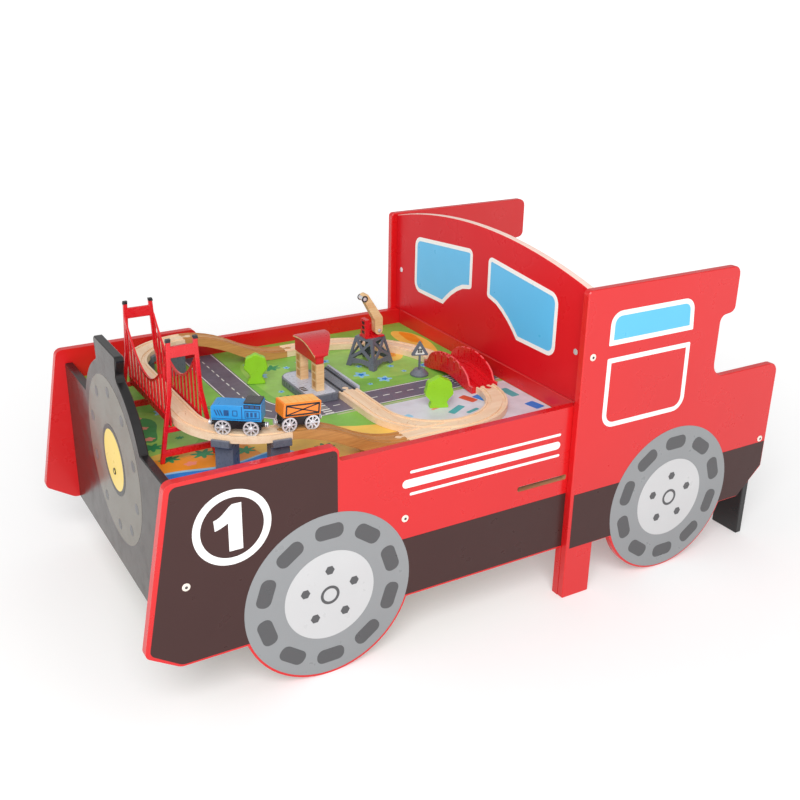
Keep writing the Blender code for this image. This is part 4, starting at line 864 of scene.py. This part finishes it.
def makeFields():
    fields = [blob(-0.03, 0.11, 0.12, 0.085, 4, 0.08), blob(-0.235, 0.10, 0.045, 0.13, 3, 0.10, 1.0)]
    fields.append(blob(-0.51, -0.02, 0.06, 0.10, 3, 0.1, 2.0))
    printBoard("meadows", fields, "meadowPrint", "field")
    printBoard("bed", [blob(-0.535, 0.015, 0.034, 0.060, 4, 0.12, 0.4)], "bedPrint", "zone")
    # beach and river across the near left corner
    beach = wavy(-0.30, -0.105, 0.009, 1.2) + [(-0.20, -0.150), (-0.12, -0.175), (-0.11, near), (left, near)]
    earth = wavy(-0.395, -0.120, 0.008, 1.2, 2.0) + [(-0.385, -0.18), (-0.40, near), (left, near)]
    shore = wavy(-0.35, -0.178, 0.008, 1.1, 1.0) + [(-0.318, -0.22), (-0.312, near), (left, near)]
    river = wavy(-0.36, -0.184, 0.008, 1.1, 1.0) + [(-0.33, -0.22), (-0.325, near), (left, near)]
    printBoard("beach", [beach], "sandPrint", "bank")
    printBoard("earth", [earth], "earthPrint", "zone")
    printBoard("shore", [shore], "shorePrint", "road")
    printBoard("river", [river], "waterPrint", "mark")
    # paved yard at the near right, sand pits at the far right
    yard = [(-0.105, near, 0), (right, near, 0), (right, -0.095, 0), (-0.175, -0.095, 0.02)]
    printBoard("yard", [rounded(yard)], "pavingPrint", "zone")
    pit = [blob(0.030, 0.135, 0.034, 0.034, 3, 0.12, 0.5), blob(0.118, 0.175, 0.028, 0.085, 3, 0.08, 0.9)]
    printBoard("sand_pit", pit, "sandPrint", "zone")
    cores = [blob(0.030, 0.138, 0.016, 0.018, 4, 0.14), blob(0.125, 0.205, 0.014, 0.040, 4, 0.10)]
    printBoard("sand_pit_core", cores, "earthPrint", "road")


def makeRoad():
    # the road comes from the far side, bends and runs out at the right
    p = boardPrint
    x, y, wide, thin = p["roadX"], p["roadY"], p["roadWidth"], p["lineWidth"]
    line = rounded([(x, far, 0), (x, y, p["roadCorner"]), (right, y, 0)], 14)
    printBoard("road", [lineShape(line, wide)], "roadPrint", "zone")
    marks = [lineShape(offsetLine(line, s * (wide / 2 - 0.0030)), thin) for s in (-1, 1)]
    marks += dashes(line, p["dash"], p["dashGap"], thin)
    for u in (-0.222, 0.064):  # two crossings on the straight run
        for k in range(7):
            v = y + (wide - 0.012) * (k - 3) / 6
            marks.append(boxShape(u, u + 0.017, v - 0.0024, v + 0.0024))
    printBoard("road_marks", marks, "markPrint", "road")
    printBoard("kerbs", [stripe(-0.205, 0.150, -0.0905, 0.004)], "kerbPrint", "road")


def makePlants():
    # flowers, bushes and shells
    dice = random.Random(boardPrint["seed"])
    spots = [(-0.075, 0.060, 0.013), (-0.045, 0.020, 0.012), (-0.250, 0.145, 0.012), (0.060, 0.050, 0.009)]
    spots += [(-0.245, 0.215, 0.010), (-0.475, 0.065, 0.012), (-0.105, 0.160, 0.009)]
    scatter(dice, boardPrint["flowers"], spots, (-0.27, 0.10), (0.0, 0.26), 0.03, (-0.37, -0.28), (0.0035, 0.006))
    flowers, hearts = [], []
    for u, v, size in spots:
        flowers.append(blob(u, v, size, size, 5, 0.30, dice.uniform(0, 6), 30))
        hearts.append(blob(u, v, size * 0.45, size * 0.45, 5, 0.25, dice.uniform(0, 6), 20))
    places = [(-0.255, 0.020, 0.015), (-0.215, 0.175, 0.015), (-0.470, -0.130, 0.016), (-0.405, -0.150, 0.014)]
    places += [(-0.525, -0.125, 0.014), (-0.285, -0.200, 0.014), (-0.535, -0.070, 0.015), (-0.215, 0.060, 0.010)]
    scatter(dice, boardPrint["bushes"], places, (left + 0.02, -0.16), (near + 0.10, 0.24), 0.050,
            (-0.38, -0.265), (0.006, 0.010))
    bushes = [blob(u, v, size, size * 0.8, 7, 0.34, dice.uniform(0, 6), 56) for u, v, size in places]
    printBoard("flowers", flowers, "shorePrint", "flower")
    printBoard("flower_hearts", hearts, "waterPrint", "heart")
    printBoard("bushes", bushes, "bushPrint", "plant")
    shells = [(-0.500, -0.155, 0.010, 0), (-0.350, -0.160, 0.008, 2), (-0.255, -0.165, 0.009, 1)]
    shells += [(-0.545, 0.030, 0.013, 3), (-0.525, 0.058, 0.011, 4), (-0.546, -0.004, 0.011, 5)]
    shells += [(-0.524, 0.012, 0.008, 1), (-0.530, -0.035, 0.010, 2), (0.035, 0.150, 0.006, 1)]
    shells.append((0.022, 0.126, 0.005, 2))
    shapes = [blob(u, v, size, size * 0.7, 5, 0.2, turn) for u, v, size, turn in shells]
    printBoard("shells", shapes, "coralPrint", "mark")


def makeYardBoxes():
    # loading bays, crates and awnings on the yard: finish, place, width, depth and turn
    boxes = [("brick", 0.042, -0.140, 0.018, 0.034, 0.35), ("water", 0.066, -0.150, 0.017, 0.036, 0.30),
             ("teal", 0.128, -0.150, 0.018, 0.042, 0.05), ("water", 0.133, -0.222, 0.022, 0.032, 0.2),
             ("sand", 0.112, -0.262, 0.028, 0.018, 0.1), ("brick", 0.060, -0.285, 0.022, 0.014, -0.1),
             ("teal", -0.005, -0.172, 0.042, 0.014, 0.5), ("teal", 0.018, -0.190, 0.030, 0.008, 0.3),
             ("shore", -0.105, -0.160, 0.030, 0.015, 0.3), ("water", -0.112, -0.166, 0.012, 0.006, 0.3),
             ("bush", -0.150, -0.125, 0.018, 0.012, 0.7), ("coral", -0.035, -0.150, 0.022, 0.006, 0.2)]
    for k, (finish, u, v, across, deep, turn) in enumerate(boxes):
        corners = boxShape(-across / 2, across / 2, -deep / 2, deep / 2, 0.003, 3)
        shape = [tuple(Vector((u, v)) + Matrix.Rotation(turn, 2) @ Vector(q)) for q in corners]
        printBoard(f"yard_box_{k + 1}", [shape], finish + "Print", "flower" if k == 9 else "mark")


makeFields()
makeRoad()
makePlants()
makeYardBoxes()
print("board print made")


# Black tips on the bridge towers

towerTip = {"height": 0.0042, "margin": 0.0003, "lean": 0.0008}


def makeTowerTips(name):
    low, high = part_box(name)
    tops = [v.co for v in frame["nodes"][name].data.vertices if v.co.z > high.z - 0.0012]
    middle = (low.x + high.x) / 2
    m = towerTip["margin"]
    bm = bmesh.new()
    for side in (-1, 1):
        ours = [c.x for c in tops if (c.x - middle) * side > 0]
        x0, x1 = min(ours) - m, max(ours) + m
        lean = towerTip["lean"] * side
        ends = [(x0, x1, high.z + 0.0006), (x0 + lean - m, x1 + lean + m, high.z - towerTip["height"])]
        joinRings(bm, [[bm.verts.new((x, y, z)) for x, y in boxShape(a, b, low.y - m, high.y + m, 0.001, 3)]
                       for a, b, z in ends])
    makePiece(name + "_tips", bm, "blackPlastic", "table")


makeTowerTips("tower_near")
makeTowerTips("tower_far")


# Loose toys take their places from the model's own axles and boxes

joints = {j["name"]: j for j in frame["joints"]}


def jointPlace(name):
    return Vector(joints[name]["pos_m"])


def vehiclePlace(name, wheelHeight=0.0103):
    # its own X runs from the front axle to the rear axle, and its Z = 0 is the rail
    front, rear = (jointPlace(f"{name}_{end}_axle_spin") for end in ("front", "rear"))
    along = (rear - front).normalized()
    across = Vector((0, 0, 1)).cross(along).normalized()
    up = along.cross(across)
    turn = Matrix((along, across, up)).transposed().to_4x4()
    return Matrix.Translation((front + rear) / 2 - up * wheelHeight) @ turn


locoPlace = vehiclePlace("loco")
wagonPlace = vehiclePlace("wagon")


def onFlank(place, half, side):
    # a face of a vehicle's long side, drawn along its own X and Z
    return lambda u, v, h: tuple(place @ Vector((u, side * (half + h), v)))


def frameBand(u0, u1, v0, v1, width, corner=0.001):
    return roundedBand(boxCorners(u0, u1, v0, v1, corner), width, 3)


locoPrint = {
    "halfWidth": 0.0155,
    "lines": 0.0012,
    "low": 0.0310,
    "high": 0.0405,
    "louvres": (-0.0340, -0.0298, -0.0256),
    "louvreWidth": 0.0020,
    "louvreLean": 0.0038,
    "sill": (-0.0372, 0.0372, 0.0258, 0.0268),
    "hatch": (-0.0188, -0.0110),
    "cabPost": (0.0085, 0.0097, 0.0258, 0.0470),
    "slats": (0.0160, 0.0196, 0.0385),
    "slatPitch": 0.0062,
    "tankFrame": (-0.0055, 0.0025),
    "cabFrame": (0.0135, 0.0365, 0.0285, 0.0410),
    "windowStrip": (0.0122, 0.0378, 0.0442, 0.0507),
    "pane": (0.0140, 0.0202, 0.0455, 0.0494),
    "panePitch": 0.0080,
}


def alongRow(box, pitch, count=3):
    # the same box a few times over, as far apart as the pitch
    u0, u1, v0, v1 = box
    return [boxShape(u0 + pitch * k, u1 + pitch * k, v0, v1) for k in range(count)]


def makeLocoPrint():
    p = locoPrint
    w, low, high = p["lines"], p["low"], p["high"]
    wide, lean = p["louvreWidth"], p["louvreLean"]
    loco = {"body": "loco", "slotName": "loco_blue"}
    slats = (*p["slats"][:2], low, p["slats"][2])
    for side, label in ((-1, "left"), (1, "right")):
        face = onFlank(locoPlace, p["halfWidth"], side)
        # slanted louvres behind the buffer beam
        shapes = [[(u, high), (u + wide, high), (u + lean + wide, low), (u + lean, low)] for u in p["louvres"]]
        shapes += [boxShape(*p["sill"]), boxShape(*p["hatch"], low, high), boxShape(*p["cabPost"])]
        shapes += alongRow(slats, p["slatPitch"])
        bands = [frameBand(*p["tankFrame"], low, high, w), frameBand(*p["cabFrame"], w)]
        printShapes("loco_lines_" + label, shapes, face, "engineDark", 0, 1, bands, **loco)
        printShapes("loco_windows_" + label, [boxShape(*p["windowStrip"])], face, "blackPaint", 0, 1.5, **loco)
        panes = alongRow(p["pane"], p["panePitch"])
        printShapes("loco_panes_" + label, panes, face, "engineDark", 1.5, 2, **loco)


magnet = {"radius": 0.0043, "depth": 0.0016, "height": 0.013}


def makeMagnets(name, place, reach):
    r, d = magnet["radius"], magnet["depth"]
    bm = bmesh.new()
    for side in (-1, 1):
        for back, profile in ((0, [(0, -0.0008), (r, -0.0008), (r, d * 0.7), (r * 0.8, d), (0, d)]),
                              (0.0030, [(0.0048, 0), (0.0048, 0.0012), (0.0040, 0.0012)])):
            spot = Matrix.Translation((side * (reach - back), 0, magnet["height"]))
            addLathe(bm, profile, 20, place @ spot @ facing(Vector((side, 0, 0))))
    makePiece(name + "_magnets", bm, "wheelMetal", name)


def makeHubCaps(name, reach=0.0152):
    # bright hubs in the spoked wheels
    joint = name + "_axle_spin"
    way = Vector(joints[joint]["axis"]).normalized()
    spots = [Matrix.Translation(jointPlace(joint) + way * side * reach) @ facing(way * side) for side in (-1, 1)]
    profile = [(0, -0.0004), (0.0026, -0.0004), (0.0026, 0.0005), (0.0015, 0.0011), (0, 0.0012)]
    lathePiece(name + "_hub_caps", profile, 16, spots, "wheelMetal", name + "_axle")


makeLocoPrint()
makeMagnets("loco", locoPlace, 0.0450)
makeMagnets("wagon", wagonPlace, 0.0390)
for axle in ("loco_front", "loco_rear", "wagon_front", "wagon_rear"):
    makeHubCaps(axle)

wagonPrint = {"halfWidth": 0.0165, "halfLength": 0.032, "top": 0.047, "frame": 0.0026, "inset": 0.0030,
              "cross": 0.0020, "low": 0.0260, "high": 0.0448, "planks": 5, "plankGap": 0.00035, "roofEdge": 0.0022}


def makeWagonPrint():
    p = wagonPrint
    wagon = {"body": "wagon", "slotName": "wagon_orange"}
    half, wide, gap = p["halfLength"], p["halfWidth"], p["plankGap"]
    u0, u1, v0, v1 = p["inset"] - half, half - p["inset"], p["low"], p["high"]
    for side, label in ((-1, "left"), (1, "right")):
        band = frameBand(u0, u1, v0, v1, p["frame"], 0.0006)
        inner = p["frame"] * 0.8
        cross = [lineShape([(u0 + inner, a), (u1 - inner, b)], p["cross"])
                 for a, b in ((v0 + inner, v1 - inner), (v1 - inner, v0 + inner))]
        face = onFlank(wagonPlace, wide, side)
        printShapes("wagon_frame_" + label, cross, face, "blackPaint", 0, 1.5, [band], **wagon)
    # boards laid across the roof
    edge = p["roofEdge"]
    pitch = 2 * (half - edge) / p["planks"]
    planks = []
    for k in range(p["planks"]):
        a = edge - half + pitch * k
        planks.append(boxShape(a + gap, a + pitch - gap, edge - wide, wide - edge))
    printShapes("wagon_roof_boards", planks, lambda u, v, h: tuple(wagonPlace @ Vector((u, v, p["top"] + h))),
                "wagonTop", 0, 1.5, **wagon)


makeWagonPrint()
print("train dressed")


# Station: kerb along the stop track, paved edge and step, and the roof's bare wooden end

stationTrim = {"kerbWidth": 0.0055, "kerbHeight": 0.0028, "roofEdge": 0.0003, "grooveReach": 0.013,
               "grooveHalf": 0.0031}
postWindow = {"count": 3, "foot": 0.006, "pitch": 0.0155, "tall": 0.0115, "margin": 0.004}
platformPrint = {"margin": 0.0045, "roundLeft": 0.020, "roundRight": 0.005, "treads": 3, "treadStart": 0.034,
                 "treadPitch": 0.0075, "treadLeft": 0.006, "treadRight": 0.017, "treadDeep": 0.0045}


def makeStationTrim():
    low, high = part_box("platform_track")
    p = stationTrim
    bm = bmesh.new()
    kerb = boxShape(high.x + 0.0006, high.x + p["kerbWidth"], low.y, high.y, 0.0008)
    addSlab(bm, kerb, topFace(0), boardTop + 0.0003, high.z + p["kerbHeight"])
    makePiece("platform_kerb", bm, "paleGreyPlastic", "table")
    bm = bmesh.new()
    for side in (-1, 1):  # dark beds of the two grooves: black sheets painting shade at the groove bottoms
        u = (low.x + high.x) / 2 + side * p["grooveReach"]
        bed = boxShape(u - p["grooveHalf"], u + p["grooveHalf"], low.y + 0.0005, high.y - 0.0005)
        addSlab(bm, bed, topFace(0), high.z - 0.0025, high.z - 0.0022)
    makePiece("platform_groove_shade", bm, "blackPlastic", "table")


def makePostPrints():
    p = postWindow
    # darker wood bands on the posts' faces: painted shade of their grooves
    shapes = []
    for name in ("station_post_near", "station_post_far"):
        low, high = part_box(name)
        for k in range(p["count"]):
            v = low.z + p["foot"] + p["pitch"] * k
            shapes.append(boxShape(low.y + p["margin"], high.y - p["margin"], v, v + p["tall"]))
    face = endFace(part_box("station_post_near")[0].x)
    printShapes("station_post_groove_shade", shapes, face, "rampWood", body="station", slotName="beech")


def makeRoofEdges():
    # bare wood along both long edges of the curved roof board
    low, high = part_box("station_roof")
    rows = {}
    for vertex in frame["nodes"]["station_roof"].data.vertices:
        if vertex.co.z > low.z + 0.006:
            rows.setdefault(round(vertex.co.y * 500), []).append(vertex.co)
    bm = bmesh.new()
    t = stationTrim["roofEdge"]
    for side in (-1, 1):
        strip = []
        for key in sorted(rows):
            reach = max(side * c.x for c in rows[key])
            edge = [c for c in rows[key] if side * c.x > reach - 0.0004]
            bottom, top = min(c.z for c in edge), max(c.z for c in edge)
            if top - bottom < 0.0012:
                continue
            y = sum(c.y for c in edge) / len(edge)
            section = ((-t, bottom), (t, bottom), (t, top), (-t, top))
            strip.append([bm.verts.new((side * (reach + h), y, z)) for h, z in section])
        joinRings(bm, strip)
    makePiece("station_roof_edges", bm, "beechUp", "station")


def makePlatformPaving():
    low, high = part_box("station_platform")
    station = {"body": "station", "slotName": "grey_plastic"}
    p = platformPrint
    m = p["margin"]
    paving = [(low.x + m, low.y + m, p["roundLeft"]), (high.x - m, low.y + m, p["roundRight"])]
    paving += [(high.x - m, high.y - m, p["roundRight"]), (low.x + m, high.y - m, p["roundLeft"])]
    printShapes("platform_paving", [rounded(paving, 8)], topFace(high.z), "paleGreyPlastic", **station)
    treads = []
    for k in range(p["treads"]):  # dark treads at the near left corner: painted shade of a recessed step
        v = low.y + p["treadStart"] + p["treadPitch"] * k
        treads.append(boxShape(low.x + p["treadLeft"], low.x + p["treadRight"], v, v + p["treadDeep"], 0.001))
    printShapes("platform_step_shade", treads, topFace(high.z), "blackPlastic", 1, 2, **station)


makeStationTrim()
makePostPrints()
makeRoofEdges()
makePlatformPaving()


# Crane: a black ring round each end of the tip pin, a steel bolt head and black patches on the slewing head that
# paint the shade of its openings

craneTrim = {"boltRadius": 0.0036, "boltHeight": 0.0009, "boltOut": 0.0022, "ringOut": 0.0064, "ringIn": 0.0040,
             "openings": 3, "openingFoot": 0.014, "openingPitch": 0.0095, "openingTall": 0.0062,
             "openingNear": 0.0050, "openingFar": 0.0150}


def makeCraneTrim():
    p = craneTrim
    low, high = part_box("boom_tip_pin")
    middle = (low + high) / 2
    spots = [Matrix.Translation((middle.x, y, middle.z)) @ Matrix.Rotation(-side * pi / 2, 4, "X")
             for side, y in ((-1, low.y), (1, high.y))]
    ring = [(p["ringIn"], 0), (p["ringOut"], -0.0008), (p["ringOut"], 0.0004), (p["ringIn"], 0.0008)]
    lathePiece("boom_tip_rings", ring, 24, spots, "blackPlastic", "boom")
    pivot = jointPlace("boom_luff")
    spot = Matrix.Translation((pivot.x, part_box("crane_boom")[0].y - p["boltOut"], pivot.z))
    r, h = p["boltRadius"], p["boltHeight"]
    bolt = [(0, -0.0006), (r, -0.0006), (r, h * 0.5), (r * 0.7, h), (0, h)]
    lathePiece("crane_bolt", bolt, 20, [spot @ Matrix.Rotation(pi / 2, 4, "X")], "wheelMetal", "crane_head")
    low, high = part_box("crane_fork")
    # black patches printed where the head's openings show dark: painted shade
    openings = []
    for k in range(p["openings"]):
        v = low.z + p["openingFoot"] + p["openingPitch"] * k
        openings.append(boxShape(low.y + p["openingNear"], low.y + p["openingFar"], v, v + p["openingTall"], 0.001))
    printShapes("crane_head_opening_shade", openings, endFace(low.x), "blackPlastic", body="crane_head",
                slotName="red_plastic")


makeCraneTrim()


# Road sign: dark border and a plain level-crossing mark

signPrint = {"size": 0.036, "border": 0.0046, "turn": radians(-20), "halfThickness": 0.002, "drop": 0.0012,
             "markFoot": 0.0085, "rails": (-0.0030, 0, 0.0030), "line": 0.0008}


def makeSignPrint():
    low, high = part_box("road_sign")
    p = signPrint
    sign = {"body": "sign", "slotName": "sign_print"}
    centre = Vector(((low.x + high.x) / 2, (low.y + high.y) / 2, 0))
    across = Vector((cos(p["turn"]), sin(p["turn"]), 0))
    out = Vector((sin(p["turn"]), -cos(p["turn"]), 0))
    height = p["size"] * sqrt(3) / 2
    bottom = high.z - height + p["drop"]
    half, foot, t = p["size"] / 2, bottom - p["drop"], p["line"]
    corners = [(-half, foot), (half, foot), (0, foot + height)]
    field = rounded([(*spot, 0.0010) for spot in grow(corners, -p["border"])], 4)
    v = bottom + p["markFoot"]
    marks = [boxShape(-0.0050, 0.0050, v - t, v + t), boxShape(-0.0044, 0.0044, v + 0.0036, v + 0.0050)]
    marks += [boxShape(u - t, u + t, v - 0.0026, v + 0.0072) for u in p["rails"]]
    for side, label in ((1, "front"), (-1, "back")):
        def face(u, v, h):
            away = out * side * (p["halfThickness"] + h)
            return tuple(centre + across * u * side + away + Vector((0, 0, v)))
        printShapes("sign_field_" + label, [field], face, "markPrint", **sign)
        printShapes("sign_marks_" + label, marks, face, "blackPaint", 1, 2, **sign)


makeSignPrint()


# Bead along the hump bridge's two arches, in a paler red: a painted highlight along the top edges

humpBead = {"radius": 0.0012, "steps": 8}


def makeHumpBeads():
    low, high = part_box("hump_bridge")
    radius = humpBead["radius"]
    section = [(radius * 1.3 * cos(a), radius * sin(a))
               for a in (2 * pi * k / humpBead["steps"] for k in range(humpBead["steps"]))]
    bm = bmesh.new()
    for x in (low.x + 0.0010, high.x - 0.0010):
        tops = {}
        for vertex in frame["nodes"]["hump_bridge"].data.vertices:
            if abs(vertex.co.x - x) < 0.0016 and low.y + 0.002 < vertex.co.y < high.y + 0.001:
                key = round(vertex.co.y, 3)
                tops[key] = max(tops.get(key, 0), vertex.co.z)
        line = [(y, z) for y, z in sorted(tops.items()) if z > boardTop + 0.0125]
        joinRings(bm, [[bm.verts.new((x + a, y, z + b)) for a, b in section] for y, z in line])
    makePiece("hump_bridge_beads", bm, "paintedHighlightRed", "table")


makeHumpBeads()
print("toys dressed")


# Stage, light and camera

cameraView = {
    "place": (-0.9714, -1.5887, 1.0863),
    "azimuth": -0.5389,
    "elevation": 0.3956,
    "roll": 0.0184,
    "focal": 1030.49,  # in pixels of the 800 pixel frame
    "sensor": 36,
}
studio = {
    "skyStrength": 0.55,
    "keyPower": 149.0,
    "keyPlace": (-1.9, -2.9, 2.9),
    "keyTarget": (0, 0, 0.3),
    "keySize": 3.0,
    "floorReach": 60,
    "floorRound": 9,
}
floorPaper = {"Near": 0.24, "Far": 0.68, "Reach": 3.0}


def addToScene(name, data, matrix=Matrix()):
    obj = bpy.data.objects.new(name, data)
    obj.matrix_world = matrix
    bpy.context.scene.collection.objects.link(obj)
    return obj


def makeCamera():
    a, e, r = cameraView["azimuth"], cameraView["elevation"], cameraView["roll"]
    back = Vector((sin(a) * cos(e), -cos(a) * cos(e), sin(e)))
    side = Vector((cos(a), sin(a), 0))
    up = back.cross(side)
    x, y = cos(r) * side + sin(r) * up, -sin(r) * side + cos(r) * up
    data = bpy.data.cameras.new("camera")
    data.sensor_width = cameraView["sensor"]
    data.lens = cameraView["focal"] * cameraView["sensor"] / 800
    data.clip_start = 0.05
    turn = Matrix((x, y, back)).transposed().to_4x4()
    bpy.context.scene.camera = addToScene("camera", data, Matrix.Translation(cameraView["place"]) @ turn)


def makeFloor():
    bm = bmesh.new()
    r = studio["floorReach"]
    bm.faces.new([bm.verts.new((x, y, 0)) for x, y in boxShape(-r, r, -r, r, studio["floorRound"], 6)])
    bmesh.ops.recalc_face_normals(bm, faces=bm.faces)
    mesh = bpy.data.meshes.new("floor")
    bm.to_mesh(mesh)
    bm.free()
    paper = {"Colour": (0.78, 0.78, 0.78, 1), "Variation": 0.0, "Scale": 2.0, "Roughness": 0.9, "Smudge": 0.02}
    mat = finishMaterial("floorPaper", skinGroup, paper, bump=0.01, Emission_Strength=1.0, Specular_IOR_Level=0.1)
    glow = placeGroup(mat.node_tree, glowGroup, floorPaper)["Colour"]
    mat.node_tree.links.new(glow, mat.node_tree.nodes["Principled BSDF"].inputs["Emission Color"])
    mesh.materials.append(mat)
    addToScene("floor", mesh)


def makeKeyLight():
    data = bpy.data.lights.new("key", "AREA")
    data.shape = "DISK"
    data.size = studio["keySize"]
    data.energy = studio["keyPower"]
    turn = facing(Vector(studio["keyPlace"]) - Vector(studio["keyTarget"]))
    addToScene("key", data, Matrix.Translation(studio["keyPlace"]) @ turn)


def makeSky():
    world = bpy.data.worlds.new("studio")
    bpy.context.scene.world = world
    world.use_nodes = True
    backdrop = world.node_tree.nodes["Background"]
    backdrop.inputs["Color"].default_value = (1, 1, 1, 1)
    backdrop.inputs["Strength"].default_value = studio["skyStrength"]


makeCamera()
makeFloor()
makeSky()
makeKeyLight()
bpy.context.scene.view_settings.view_transform = "Standard"
print("stage, light and camera made")
